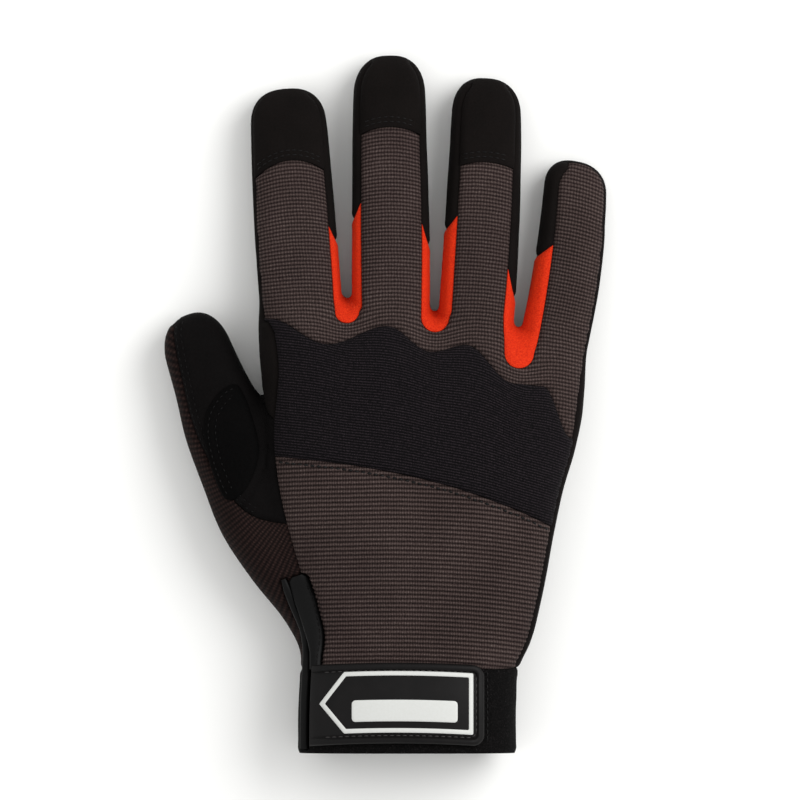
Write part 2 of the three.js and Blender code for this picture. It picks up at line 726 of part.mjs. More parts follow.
function closure() {
  const low = [TAB_OFFSET - TAB_LENGTH / 2, TAB_RISE - TAB_HEIGHT / 2];
  const high = [TAB_OFFSET + TAB_LENGTH / 2, TAB_RISE + TAB_HEIGHT / 2];
  const inward = (distance) => [low.map((v) => v + distance), high.map((v) => v - distance)];
  const [frameLow, frameHigh] = inward(RIM_WIDTH + FRAME_MARGIN);
  const fieldLow = [frameLow[0] + FIELD_LEFT_MARGIN, frameLow[1] + FIELD_LOWER_MARGIN];
  const fieldHigh = [frameHigh[0] - FIELD_RIGHT_MARGIN, fieldLow[1] + FIELD_HEIGHT];
  const plate = roundedPlate(low, high, TAB_CORNER);
  const field = roundedPlate(...inward(RIM_WIDTH), TAB_CORNER - RIM_WIDTH / 2);
  const frame = frameOutline(frameLow, frameHigh, 0).subtract(frameOutline(frameLow, frameHigh, FRAME_LINE));
  const writeOn = roundedPlate(fieldLow, fieldHigh, FIELD_CORNER);
  const bindingLine = slitLine(SLIT.binding);
  const sewnEnd = leftOf(bindingLine, BINDING_WIDTH / 2, bindingLine.at(-1).x);
  const tabTop = -GAP - TAB_THICKNESS;
  const tabBody = skin(tabTop, -GAP).intersect(plate);
  const rim = skin(tabTop - RIM_HEIGHT, -GAP).intersect(plate.subtract(field));
  const print = skin(tabTop - GAP - PRINT_THICKNESS, tabTop - GAP);
  return [
    ["closure_tab", tabBody.add(rim).subtract(slitRoom).subtract(sewnEnd), MOULDED_RUBBER],
    ["tab_frame", print.intersect(frame), WHITE_PRINT],
    ["tab_write_on_field", print.intersect(writeOn), WHITE_PRINT],
  ];
}

// The lines midway between neighbouring fingers.
function midLines() {
  return WEBS.map((web) => {
    const right = axisLine(web.right);
    return axisLine(web.left).map((p, i) => p.lerp(right[i], 0.5));
  });
}

function palmPanels() {
  const wall = shell.intersect(everywhere(BELOW, PALM_SEAM - half)).intersect(aboveCuff).subtract(slitRoom);
  const thumbArea = (margin) => digitArea("thumb", THUMB_ROOT_SHARE, margin);
  const lines = [farLeft, ...midLines(), farRight];
  const fingerArea = (name, i, margin) => {
    const between = betweenLines(offsetLine(lines[i], margin), offsetLine(lines[i + 1], -margin));
    return digitArea(name, ROOT_SHARE, margin).intersect(between);
  };
  const rooms = join([thumbArea(half), ...FINGERS.map((name, i) => fingerArea(name, i, half))]);
  return [
    ["palm_panel", wall.subtract(rooms), SUEDE],
    ["thumb_front", wall.intersect(thumbArea(-half)), SUEDE],
    ...FINGERS.map((name, i) => [`${name}_front`, wall.intersect(fingerArea(name, i, -half)), SUEDE]),
  ];
}

const pieces = [
  ...backPanels(),
  ...fingerSides(),
  ...handSides(),
  ...palmPanels(),
  ["cuff_band", shell.intersect(cuffArea).subtract(slitRoom), LOOP_FABRIC],
  ["slit_binding", rolledStrip(SLIT.binding, BINDING_WIDTH), SMOOTH_BINDING],
  ["slit_gusset", slitGusset, SMOOTH_BINDING],
  ...closure(),
];

const group = new THREE.Group();
for (const [name, solid, material] of pieces) {
  const mesh = new THREE.Mesh(geometryFrom(solid), material);
  mesh.name = name;
  group.add(mesh);
}
const box = new THREE.Box3().setFromObject(group, true);
const middle = box.getCenter(new THREE.Vector3());
group.position.set(-middle.x, -middle.y, -box.min.z);

export default group;
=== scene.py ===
# A right-hand mechanic's glove, lying palm down, dressed over its frame.
#
# Shapes are worked out in millimetres in the hand's own frame: x from the middle of the cuff
# towards the little finger, y from the cuff's mouth to the fingertips, and z up. Each sewn panel is
# a patch of one smooth skin, cut along its seams, with its edges turned down into them.
import math
from collections import namedtuple

import bpy
import numpy as np
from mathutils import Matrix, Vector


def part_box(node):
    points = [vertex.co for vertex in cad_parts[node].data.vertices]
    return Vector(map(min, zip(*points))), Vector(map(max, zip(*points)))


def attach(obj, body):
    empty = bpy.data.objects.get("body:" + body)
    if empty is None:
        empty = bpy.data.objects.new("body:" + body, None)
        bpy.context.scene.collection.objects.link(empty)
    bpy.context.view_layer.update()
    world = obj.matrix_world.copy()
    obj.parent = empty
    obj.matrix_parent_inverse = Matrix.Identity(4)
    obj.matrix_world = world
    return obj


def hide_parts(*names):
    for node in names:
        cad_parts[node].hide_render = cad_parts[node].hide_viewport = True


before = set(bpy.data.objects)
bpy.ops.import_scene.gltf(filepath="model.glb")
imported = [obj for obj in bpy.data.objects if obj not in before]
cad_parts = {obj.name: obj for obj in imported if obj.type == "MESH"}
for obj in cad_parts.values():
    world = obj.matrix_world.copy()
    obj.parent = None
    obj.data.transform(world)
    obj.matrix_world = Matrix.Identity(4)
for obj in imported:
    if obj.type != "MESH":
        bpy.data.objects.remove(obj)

import openvdb
from mathutils import Vector
from mathutils.bvhtree import BVHTree
from mathutils.kdtree import KDTree

for spare in ("Cube", "Light", "Camera"):
    if spare in bpy.data.objects:
        bpy.data.objects.remove(bpy.data.objects[spare])
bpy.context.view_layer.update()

MM = 0.001

# Most of these sizes and tables are the frame's own. Some, such as the caps' hems, the ends of the
# gussets and the digits' widths, are fitted closer to the photograph.
HAND_LENGTH = 152.0
PALM_WIDTH = 112.0
PALM_THICKNESS = 37.0
CUFF_WIDTH = 75.2
CUFF_THICKNESS = 39.0
CUFF_HEIGHT = 29.0
WEB_TILT = math.radians(-9.5)
REST_SINK = 3.0
PALM_SEAM = 8.5
HAND_SHOULDER = 14.0
FINGER_SHOULDER = 9.8
CAP_HEM_BOWS = {"index": 6.4, "middle": 4.3, "ring": 3.3}
ROOT_SHARE = 0.29
ROOT_LAP = 0.03
TAB_LENGTH = 60.6
TAB_HEIGHT = 27.8
TAB_THICKNESS = 1.8
TAB_CORNER = 4.0
TAB_RISE = 16.6
TAB_OFFSET = -3.7
RIM_WIDTH = 2.2
RIM_HEIGHT = 0.8
FRAME_MARGIN = 1.6
FRAME_LINE = 1.5
FRAME_POINT = 8.5
FIELD_LEFT_MARGIN = 11.2
FIELD_RIGHT_MARGIN = 5.4
FIELD_LOWER_MARGIN = 3.4
FIELD_HEIGHT = 7.4
FIELD_CORNER = 1.2
BINDING_WIDTH = 3.2
DIGIT_SQUARENESS = 2.5
HAND_SQUARENESS = 2.7
FAR = 2 * HAND_LENGTH

Digit = namedtuple(
    "Digit", "across along length width thickness lean bow cap left_root left_tip right_root right_tip"
)
DIGITS = {
    "index": Digit(-0.306, 0.8, 108, 28.4, 21, -4, 0, 31.4, 0.6, 0.6, 2.6, 1.6),
    "middle": Digit(-0.048, 0.778, 122.4, 26.8, 21.5, -0.3, 0, 29.1, 3.2, 2.2, 2.6, 1.6),
    "ring": Digit(0.184, 0.778, 114.7, 26, 20.5, 3.4, 1.6, 32.3, 4.3, 3.3, 3.8, 1.6),
    "little": Digit(0.387, 0.755, 90.5, 23.6, 19, 9.6, 3.3, 0, 6.6, 4.6, 0.4, 0.4),
    "thumb": Digit(-0.272, 0.225, 125.3, 30.2, 24, -21.5, -1.1, 0, 0, 0, 0, 0),
}
FINGERS = ("index", "middle", "ring", "little")

# Sections of a digit: where along it, its share of the width, and its underside and top as shares
# of its thickness. The tip is rounded off over the last part of its length.
Section = namedtuple("Section", "at wide base top")
FINGER_SECTIONS = (
    Section(0.0, 0.86, -0.06, 1.4),
    Section(0.16, 0.98, 0.0, 1.37),
    Section(0.3, 1.0, 0.1, 1.25),
    Section(0.48, 1.0, 0.15, 1.1),
    Section(0.64, 0.98, 0.09, 1.01),
    Section(0.78, 0.95, 0.0, 0.93),
    Section(0.87, 0.93, -0.03, 0.87),
    Section(1.0, 0.87, -0.02, 0.75),
)
THUMB_SECTIONS = (
    Section(0.0, 0.3, 0.05, 0.72),
    Section(0.12, 0.42, -0.04, 0.96),
    Section(0.26, 0.76, -0.1, 1.12),
    Section(0.4, 0.98, -0.1, 1.14),
    Section(0.54, 1.0, -0.04, 1.07),
    Section(0.68, 0.97, 0.03, 1.0),
    Section(0.8, 0.84, 0.03, 0.93),
    Section(0.89, 0.77, 0.02, 0.87),
    Section(1.0, 0.7, 0.02, 0.77),
)
TIP_SHARE = 0.107
TIP_POWER = 2.3

HandSection = namedtuple("HandSection", "at spread centre heft base top tilt")
HAND_SECTIONS = (
    HandSection(0.0, 0.0, 0.0, 0, 0.0, 0.98, 0),
    HandSection(0.12, 0.0, 0.002, 0, 0.0, 0.98, 0),
    HandSection(0.19, 0.0, 0.008, 0.2, 0.0, 0.95, 0),
    HandSection(0.25, 0.06, 0.033, 0.5, 0.02, 0.93, 0.05),
    HandSection(0.34, 0.2, 0.042, 1, 0.0, 0.98, 0.12),
    HandSection(0.43, 0.38, 0.035, 1, 0.0, 1.02, 0.25),
    HandSection(0.53, 0.57, 0.026, 1, 0.0, 1.03, 0.4),
    HandSection(0.63, 0.73, 0.027, 1, 0.0, 1.02, 0.55),
    HandSection(0.74, 0.87, 0.042, 1, 0.02, 0.98, 0.75),
    HandSection(0.85, 0.97, 0.048, 1, 0.04, 0.9, 0.9),
    HandSection(0.92, 0.95, 0.049, 1, 0.07, 0.8, 1),
    HandSection(0.965, 0.84, 0.052, 1, 0.12, 0.66, 1),
    HandSection(0.99, 0.74, 0.054, 1, 0.18, 0.53, 1),
    HandSection(1.0, 0.62, 0.054, 1, 0.25, 0.42, 1),
)

# Seams in plan, as shares of the palm's width and the hand's length
SCALLOPS = (
    (-0.5, 0.99), (-0.425, 0.985), (-0.243, 0.927), (-0.063, 0.969), (0.077, 0.911),
    (0.18, 0.927), (0.33, 0.838), (0.42, 0.832), (0.51, 0.712), (0.56, 0.7),
)
KNUCKLE_HEM = (
    (-0.5, 0.68), (-0.37, 0.67), (-0.142, 0.65), (0.1, 0.612), (0.308, 0.56), (0.452, 0.511),
    (0.56, 0.46),
)
Web = namedtuple("Web", "name left right across along wide")
WEBS = (
    Web("index_middle", "index", "middle", -0.185, 0.977, 0.072),
    Web("middle_ring", "middle", "ring", 0.087, 0.958, 0.077),
    Web("ring_little", "ring", "little", 0.346, 0.874, 0.089),
)
# Where each stretch gusset ends up its finger: the share at the finger's back seam, and how
# steeply its end falls from there towards the side, in plan
GUSSET_ENDS = {
    ("index", 1): (0.56, 2.5), ("middle", -1): (0.591, 2.1), ("middle", 1): (0.538, 3.6),
    ("ring", -1): (0.586, 1.3), ("ring", 1): (0.462, 3.4), ("little", -1): (0.684, 0.9),
}
SIDE_REACH = 0.6
SIDE_OVERLAP = 0.15
THUMB_KNIT_SEAM = (
    (-0.69, 1.03), (-0.722, 0.965), (-0.712, 0.9), (-0.696, 0.845), (-0.668, 0.755), (-0.632, 0.687),
    (-0.574, 0.615), (-0.527, 0.565), (-0.468, 0.535), (-0.4, 0.522), (-0.33, 0.515),
)
CROTCH_SEAM = (
    (-0.51, 1.1), (-0.482, 0.9), (-0.448, 0.82), (-0.441, 0.788), (-0.423, 0.762), (-0.36, 0.735),
)
PATCH_EDGE = (
    (-0.49, 0.79), (-0.525, 0.835), (-0.575, 0.818), (-0.614, 0.775), (-0.624, 0.73),
    (-0.614, 0.68), (-0.592, 0.627), (-0.555, 0.575), (-0.505, 0.59), (-0.468, 0.64),
    (-0.456, 0.7),
)
# The wrist slit: insets from the glove's left side as shares of the cuff's width
BINDING_LINE = (
    (0.15, 0.394), (0.1, 0.34), (0.064, 0.285), (0.041, 0.2485), (0.031, 0.224), (0.028, 0.19),
    (0.028, 0.12), (0.028, 0.06), (0.028, 0.01),
)
GUSSET_LINE = (
    (0.226, 0.402), (0.196, 0.369), (0.163, 0.337), (0.108, 0.278), (0.0858, 0.2485),
    (0.0702, 0.219), (0.069, 0.19),
)
GUSSET_WIDTHS = ((0, 4.4), (0.05, 7.0), (0.3, 8.0), (0.6, 6.2), (0.8, 4.4), (1, 3.9))

# Where the hand's own frame lies in the part's
tab_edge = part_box("closure_tab")[1].x / MM
mouth_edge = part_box("cuff_band")[0].y / MM
HAND_ORIGIN = np.array([tab_edge - TAB_OFFSET - TAB_LENGTH / 2, mouth_edge, 0.0])


# The smooth form of the glove


def blended(rows, column, steps=400):
    """A column of a table as a smooth curve: its places and its values."""
    at = np.array([row.at for row in rows])
    value = np.array([getattr(row, column) for row in rows], float)
    slope = np.gradient(value, at)
    place = np.linspace(at[0], at[-1], steps)
    i = np.clip(np.searchsorted(at, place) - 1, 0, len(at) - 2)
    gap = at[i + 1] - at[i]
    t = (place - at[i]) / gap
    rise = t * t * (3 - 2 * t)
    lead = gap * slope[i] * t * (1 - t) ** 2
    tail = gap * slope[i + 1] * t * t * (t - 1)
    return place, value[i] * (1 - rise) + value[i + 1] * rise + lead + tail


def curves(rows, *columns):
    return {column: blended(rows, column) for column in columns}


CURVES = {name: curves(FINGER_SECTIONS, "wide", "base", "top") for name in FINGERS}
CURVES["thumb"] = curves(THUMB_SECTIONS, "wide", "base", "top")
HAND_CURVES = curves(HAND_SECTIONS, "spread", "centre", "heft", "base", "top", "tilt")


def rounded_distance(u, v, width, tall, end, power):
    """Roughly how far a place is from a rounded box section's wall: below zero inside."""
    a = np.abs(u) / width
    b = np.abs(v) / tall
    r = (a**power + b**power + end) ** (1 / power)
    r = np.maximum(r, 1e-3)
    slope = np.hypot((a / r) ** (power - 1) / width, (b / r) ** (power - 1) / tall)
    return (r - 1) / np.maximum(slope, 0.6 / np.maximum(width, tall))


def digit_distance(name, x, y, z):
    digit = DIGITS[name]
    lean = math.radians(digit.lean)
    dx = x - digit.across * PALM_WIDTH
    dy = y - digit.along * HAND_LENGTH
    reach = dx * math.sin(lean) + dy * math.cos(lean)
    aside = dx * math.cos(lean) - dy * math.sin(lean)
    at = np.clip(reach / digit.length, 0, 1)
    u = aside - digit.bow * 4 * at * (1 - at)
    table = CURVES[name]
    width = digit.width / 2 * np.interp(at, *table["wide"])
    base = digit.thickness * np.interp(at, *table["base"])
    top = digit.thickness * np.interp(at, *table["top"])
    tip = TIP_SHARE * digit.length
    end = np.clip((reach - digit.length + tip) / tip, 0, 3) ** TIP_POWER
    root = np.clip(-reach / tip, 0, 3) ** 2
    middle, tall = (base + top) / 2, (top - base) / 2
    return rounded_distance(u, z - middle, width, tall, end + root, DIGIT_SQUARENESS)


def hand_distance(x, y, z):
    at = y / HAND_LENGTH + 0 * x
    for _ in range(4):
        tilt = WEB_TILT * np.interp(at, *HAND_CURVES["tilt"])
        centre = PALM_WIDTH * np.interp(at, *HAND_CURVES["centre"])
        at = (y - np.tan(tilt) * (x - centre)) / HAND_LENGTH
    end = np.clip((at - 0.97) / 0.035, 0, 3) ** 2
    at = np.clip(at, 0, 1)
    centre = PALM_WIDTH * np.interp(at, *HAND_CURVES["centre"])
    spread = np.interp(at, *HAND_CURVES["spread"])
    heft = np.interp(at, *HAND_CURVES["heft"])
    half = (CUFF_WIDTH + (PALM_WIDTH - CUFF_WIDTH) * spread) / 2
    thickness = CUFF_THICKNESS + (PALM_THICKNESS - CUFF_THICKNESS) * heft
    base = thickness * np.interp(at, *HAND_CURVES["base"]) - REST_SINK
    top = thickness * np.interp(at, *HAND_CURVES["top"])
    middle, tall = (base + top) / 2, (top - base) / 2
    return rounded_distance(x - centre, z - middle, half, tall, end, HAND_SQUARENESS)


def smooth_least(a, b, reach):
    h = np.clip(0.5 + 0.5 * (b - a) / reach, 0, 1)
    return b + (a - b) * h - reach * h * (1 - h)


ROOT_BLEND = 5.0
FLOOR_BLEND = 2.5


def form(x, y, z):
    """How far a place lies from the glove's outside, in mm: below zero inside it."""
    digits = digit_distance("thumb", x, y, z)
    for name in FINGERS:
        digits = np.minimum(digits, digit_distance(name, x, y, z))
    body = smooth_least(hand_distance(x, y, z), digits, ROOT_BLEND)
    return -smooth_least(-body, z, FLOOR_BLEND)


def outward(p, step=0.15):
    """The form's gradient at each place."""
    x, y, z = p.T
    return np.stack(
        [
            form(x + step, y, z) - form(x - step, y, z),
            form(x, y + step, z) - form(x, y - step, z),
            form(x, y, z + step) - form(x, y, z - step),
        ],
        axis=1,
    ) / (2 * step)


def unit(v):
    return v / np.maximum(np.linalg.norm(v, axis=1, keepdims=True), 1e-9)


def top_height(x, y):
    """The height of the glove's back over places in plan."""
    low = np.full(np.shape(x), PALM_SEAM)
    high = np.full(np.shape(x), 1.2 * CUFF_THICKNESS)
    for _ in range(15):
        middle = (low + high) / 2
        inside = form(x, y, middle) < 0
        low = np.where(inside, middle, low)
        high = np.where(inside, high, middle)
    return (low + high) / 2


SKIN_STEP = 0.9  # spacing of the skin's mesh


def whole_skin():
    """The glove's outside as an even triangle mesh."""
    low = np.array([-88.0, -3.0, -1.6])
    high = np.array([73.0, 244.0, 43.0])
    count = ((high - low) / SKIN_STEP).astype(int)
    x, y, z = (low[k] + SKIN_STEP * np.arange(count[k]) for k in range(3))
    values = form(x[:, None, None], y[None, :, None], z[None, None, :])
    grid = openvdb.FloatGrid(3.0)
    grid.copyFromArray(np.clip(values, -3, 3).astype(np.float32))
    places, quads = grid.convertToQuads(isovalue=0.0)
    p = low + SKIN_STEP * places.astype(float)
    for _ in range(2):
        g = outward(p)
        p = p - form(*p.T)[:, None] * g / np.maximum((g * g).sum(1, keepdims=True), 0.2)
    quads = quads.astype(int)
    faces = np.concatenate([quads[:, [0, 1, 2]], quads[:, [0, 2, 3]]])
    a, b, c = (p[faces[:, k]] for k in range(3))
    facing = np.einsum("ij,ij->i", np.cross(b - a, c - a), outward(a))
    return p, faces if np.median(facing) > 0 else faces[:, ::-1]


# Cutting a mesh along fields


def used(p, faces):
    """A mesh without its loose vertices."""
    keep, flat = np.unique(faces, return_inverse=True)
    return p[keep], flat.reshape(faces.shape)


def clip(p, faces, field):
    """The part of a triangle mesh where a field of its vertices is above zero."""
    inside = field > 0
    count = inside[faces].sum(1)
    kept = faces[count == 3]
    ones = faces[count == 1]
    twos = faces[count == 2]

    def turned(rows, first):
        turns = np.argmax(first[rows], axis=1)
        order = (turns[:, None] + np.arange(3)) % 3
        return np.take_along_axis(rows, order, axis=1)

    ones = turned(ones, inside)
    twos = turned(twos, ~inside)
    edges = np.concatenate([ones[:, [0, 1]], ones[:, [0, 2]], twos[:, [0, 1]], twos[:, [0, 2]]])
    pairs, index = np.unique(np.sort(edges, axis=1), axis=0, return_inverse=True)
    index = index.reshape(-1) + len(p)
    a, b = pairs.T
    t = (field[a] / (field[a] - field[b]))[:, None]
    cut = p[a] + (p[b] - p[a]) * t
    n1, n2 = len(ones), len(twos)
    one_b, one_c = index[:n1], index[n1 : 2 * n1]
    two_b, two_c = index[2 * n1 : 2 * n1 + n2], index[2 * n1 + n2 :]
    new = [
        kept,
        np.stack([ones[:, 0], one_b, one_c], axis=1),
        np.stack([two_b, twos[:, 1], twos[:, 2]], axis=1),
        np.stack([two_b, twos[:, 2], two_c], axis=1),
    ]
    return used(np.concatenate([p, cut]), np.concatenate(new))


def border(faces):
    """The edges that only one face has, each in that face's own order."""
    edges = np.concatenate([faces[:, [0, 1]], faces[:, [1, 2]], faces[:, [2, 0]]])
    key = np.sort(edges, axis=1)
    _, first, count = np.unique(key, axis=0, return_index=True, return_counts=True)
    return edges[first[count == 1]]


def border_distance(p, faces):
    rim = np.unique(border(faces))
    tree = KDTree(len(rim))
    for i, place in enumerate(p[rim]):
        tree.insert(place, i)
    tree.balance()
    return np.array([tree.find(place)[2] for place in p])


def walled(p, under, faces):
    """A closed body between a sheet and the same sheet carried under it."""
    n = len(p)
    a, b = border(faces).T
    walls = np.concatenate([np.stack([b, a, a + n], axis=1), np.stack([b, a + n, b + n], axis=1)])
    return np.concatenate([p, under]), np.concatenate([faces, faces[:, ::-1] + n, walls])


# Seams and areas in plan


def plan(across, along):
    return np.array([across * PALM_WIDTH, along * HAND_LENGTH])


def smooth_line(points, steps):
    """A Catmull-Rom line through points."""
    p = np.array(points, float)
    t = np.linspace(0, len(p) - 1, steps + 1)
    i = np.minimum(t.astype(int), len(p) - 2)
    t = (t - i)[:, None]
    before, a, b, after = p[np.maximum(i - 1, 0)], p[i], p[i + 1], p[np.minimum(i + 2, len(p) - 1)]
    lead, tail = (b - before) / 2, (after - a) / 2
    return (
        (2 * a - 2 * b + lead + tail) * t**3 + (3 * b - 3 * a - 2 * lead - tail) * t**2 + lead * t + a
    )


def plan_line(table, steps=44):
    return smooth_line([plan(*row) for row in table], steps)


def digit_axis(name, at):
    digit = DIGITS[name]
    lean = math.radians(digit.lean)
    ahead = np.array([math.sin(lean), math.cos(lean)])
    side = np.array([ahead[1], -ahead[0]])
    root = plan(digit.across, digit.along)
    return root + ahead * at * digit.length + side * digit.bow * 4 * at * (1 - at)


def digit_side(name, at):
    ahead = digit_axis(name, at + 0.01) - digit_axis(name, at - 0.01)
    ahead /= np.linalg.norm(ahead)
    return np.array([ahead[1], -ahead[0]])


def digit_edge(name, at, hand):
    digit = DIGITS[name]
    root, tip = (digit.right_root, digit.right_tip) if hand > 0 else (digit.left_root, digit.left_tip)
    round_off = np.clip((at - 1 + TIP_SHARE) / TIP_SHARE, 0, 1) ** TIP_POWER
    half = digit.width / 2 * np.interp(at, *CURVES[name]["wide"])
    half *= (1 - round_off) ** (1 / DIGIT_SQUARENESS)
    reach = max(half - (root + (tip - root) * at), 0.35)
    return digit_axis(name, at) + digit_side(name, at) * hand * reach


LEFT_STRIP = 2.3  # the black strip beside the knit, as seen from above
LEFT_STRIP_END = 0.9
RIGHT_STRIP = 1.1
RIGHT_STRIP_END = 0.75
TUCK = 3.2  # how far the left strip draws the knuckle panel's edge in
TUCK_PLACE = 0.83
TUCK_REACH = 0.085


def hand_edge(hand, strip, to):
    """The knit's edge up one side of the hand, a strip's width inside the glove's own."""
    points = []
    for at in np.linspace(0, to, 30):
        centre = PALM_WIDTH * np.interp(at, *HAND_CURVES["centre"])
        half = (CUFF_WIDTH + (PALM_WIDTH - CUFF_WIDTH) * np.interp(at, *HAND_CURVES["spread"])) / 2
        tilt = WEB_TILT * np.interp(at, *HAND_CURVES["tilt"])
        tuck = TUCK * math.exp(-(((at - TUCK_PLACE) / TUCK_REACH) ** 2)) if hand < 0 else 0
        u = hand * (half - strip - tuck)
        points.append((centre + u, at * HAND_LENGTH + math.tan(tilt) * u))
    return points


def web_arc(web):
    low = plan(web.across, web.along)
    radius = web.wide * PALM_WIDTH / 2
    turns = np.linspace(math.pi, 2 * math.pi, 17)
    return [(low[0] + radius * math.cos(t), low[1] + radius + radius * math.sin(t)) for t in turns]


def hand_outline():
    left = hand_edge(-1, LEFT_STRIP, LEFT_STRIP_END)
    right = hand_edge(1, RIGHT_STRIP, RIGHT_STRIP_END)
    ends = [digit_edge("index", ROOT_SHARE, -1)]
    for web in WEBS:
        ends += [digit_edge(web.left, ROOT_SHARE, 1), *web_arc(web)]
        ends.append(digit_edge(web.right, ROOT_SHARE, -1))
    ends.append(digit_edge("little", ROOT_SHARE, 1))
    return [(left[0][0], -FAR), *left, *ends, *right[::-1], (right[0][0], -FAR)]


def finger_outline(name):
    shares = np.linspace(ROOT_SHARE - ROOT_LAP, 0.975, 34)
    left = [digit_edge(name, at, -1) for at in shares]
    right = [digit_edge(name, at, 1) for at in shares[::-1]]
    return [*left, digit_axis(name, 1.2), *right]


def scallop_line():
    points = [plan(*row) for row in SCALLOPS]
    line = [points[0]]
    for p, q in zip(points, points[1:]):
        for t in np.linspace(0, 1, 11)[1:]:
            swing = (1 - math.cos(math.pi * t)) / 2
            line.append((p[0] + (q[0] - p[0]) * t, p[1] + (q[1] - p[1]) * swing))
    return np.array(line)


def beyond(line):
    """Everything on the fingertips' side of a line across the hand."""
    return [(-FAR, line[0][1]), *line, (FAR, line[-1][1]), (FAR, FAR), (-FAR, FAR)]


def left_of(line):
    return [(-FAR, -FAR), (-FAR, FAR), *line, (0, line[-1][1]), (0, -FAR)]


def cap_hem(name, lift=0.0):
    """The hem across a fingertip cap, or a line at a distance beyond it."""
    digit = DIGITS[name]
    at = 1 - digit.cap / digit.length
    side = digit_side(name, at)
    ahead = np.array([-side[1], side[0]])
    middle, bow = digit_axis(name, at), CAP_HEM_BOWS[name]
    return [
        middle + side * t * digit.width + ahead * (bow * (1 - 4 * t * t) + lift)
        for t in np.linspace(-0.5, 0.5, 21)
    ]


def cap_outline(name):
    side = digit_side(name, 0.9) * DIGITS[name].width / 2
    return [*cap_hem(name), digit_axis(name, 1.3) + side, digit_axis(name, 1.3) - side]


def beside(name, at, reach):
    return digit_axis(name, at) + digit_side(name, at) * reach * DIGITS[name].width


def gusset_outline(name, hand):
    """One side of a finger beyond the end of its stretch gusset."""
    digit = DIGITS[name]
    end, fall = GUSSET_ENDS[name, hand]
    seam = 0.5 - (digit.right_root if hand > 0 else digit.left_root) / digit.width
    fall = fall * digit.width / digit.length
    top = min(end + fall * (seam + SIDE_OVERLAP), 1.2)
    inner = [beside(name, at, -hand * SIDE_OVERLAP) for at in np.linspace(top, 1.25, 5)]
    outer = [beside(name, at, hand * SIDE_REACH) for at in (1.25, end - fall * (SIDE_REACH - seam))]
    return [*inner, *outer, beside(name, end, hand * seam)]


def axis_line(name):
    return [digit_axis(name, at) for at in np.linspace(0, 1.25, 24)]


def far_axis(name):
    return [(0, -FAR), *axis_line(name)]


PLAN_STEP = 0.5
PLAN_LOW = np.array([-92.0, -8.0])
PLAN_COUNT = (340, 516)


def area(outline):
    """A sampler of the distance inside an outline in plan, below zero outside it."""
    points = np.array([tuple(p) for p in outline], float)
    x = (PLAN_LOW[0] + PLAN_STEP * np.arange(PLAN_COUNT[0]))[:, None]
    y = (PLAN_LOW[1] + PLAN_STEP * np.arange(PLAN_COUNT[1]))[None, :]
    nearest = np.full(PLAN_COUNT, 1e9)
    crossed = np.zeros(PLAN_COUNT, bool)
    for (ax, ay), (bx, by) in zip(points, np.roll(points, -1, axis=0)):
        dx, dy = bx - ax, by - ay
        length = dx * dx + dy * dy
        if length == 0:
            continue
        t = np.clip(((x - ax) * dx + (y - ay) * dy) / length, 0, 1)
        nearest = np.minimum(nearest, (x - ax - t * dx) ** 2 + (y - ay - t * dy) ** 2)
        if dy:
            over = (ay > y) != (by > y)
            crossed ^= over & (x < ax + (y - ay) * dx / dy)
    field = np.where(crossed, 1, -1) * np.sqrt(nearest)

    def sample(p):
        u = (p[:, :2] - PLAN_LOW) / PLAN_STEP
        i = np.clip(u.astype(int), 0, np.array(PLAN_COUNT) - 2)
        s, t = (u - i).T
        i, j = i.T
        low = field[i, j] * (1 - s) + field[i + 1, j] * s
        high = field[i, j + 1] * (1 - s) + field[i + 1, j + 1] * s
        return low * (1 - t) + high * t

    return sample


def height_over(level):
    return lambda p: p[:, 2] - level


def along_over(level):
    return lambda p: p[:, 1] - level


def both(*fields):
    return lambda p: np.minimum.reduce([f(p) for f in fields])


def either(*fields):
    return lambda p: np.maximum.reduce([f(p) for f in fields])


def outside_of(field):
    return lambda p: -field(p)


# Areas of the glove

hand_area = area(hand_outline())
finger_areas = [area(finger_outline(name)) for name in FINGERS]
BACK = either(
    both(hand_area, height_over(HAND_SHOULDER)),
    *[both(field, height_over(FINGER_SHOULDER)) for field in finger_areas],
)
ABOVE_SCALLOPS = area(beyond(scallop_line()))
ABOVE_HEM = area(beyond(plan_line(KNUCKLE_HEM)))
CAPS = {name: area(cap_outline(name)) for name in FINGERS if DIGITS[name].cap}
GUSSETS = {key: area(gusset_outline(*key)) for key in GUSSET_ENDS}
UPPER = both(height_over(PALM_SEAM), along_over(CUFF_HEIGHT))
SIDES = both(UPPER, outside_of(BACK))
CROTCH = area(left_of(plan_line(CROTCH_SEAM)))
THUMB_KNIT = area(left_of(plan_line(THUMB_KNIT_SEAM)))


def slit_line(table, steps=40):
    """A line down the wrist slit, from its insets from the glove's left side."""
    places = []
    for inset, along in table:
        y = along * HAND_LENGTH
        low, high = -FAR / 2, 0.0
        for _ in range(30):
            x = (low + high) / 2
            inside = form(np.array([x]), np.array([y]), np.array([HAND_SHOULDER]))[0] < 0
            low, high = (low, x) if inside else (x, high)
        places.append((x + inset * CUFF_WIDTH, y))
    return smooth_line(places, steps)


def aheads(line):
    return unit(np.gradient(line, axis=0))


def carried(line, distance):
    """A line in plan carried over to its left."""
    ahead = aheads(line)
    return line + np.reshape(distance, (-1, 1)) * np.stack([-ahead[:, 1], ahead[:, 0]], axis=1)


binding_line = slit_line(BINDING_LINE)
gusset_line = slit_line(GUSSET_LINE)
gusset_widths = np.interp(np.linspace(0, 1, len(gusset_line)), *zip(*GUSSET_WIDTHS))


def strip_outline(line, width):
    return [*carried(line, width / 2), *carried(line, -width / 2)[::-1]]


under_binding = area(strip_outline(binding_line, BINDING_WIDTH - 1))
under_gusset = area(strip_outline(gusset_line, gusset_widths - 0.6))
SLIT = both(either(under_binding, under_gusset), height_over(HAND_SHOULDER))
LINES_OF_FINGERS = {name: axis_line(name) for name in FINGERS}


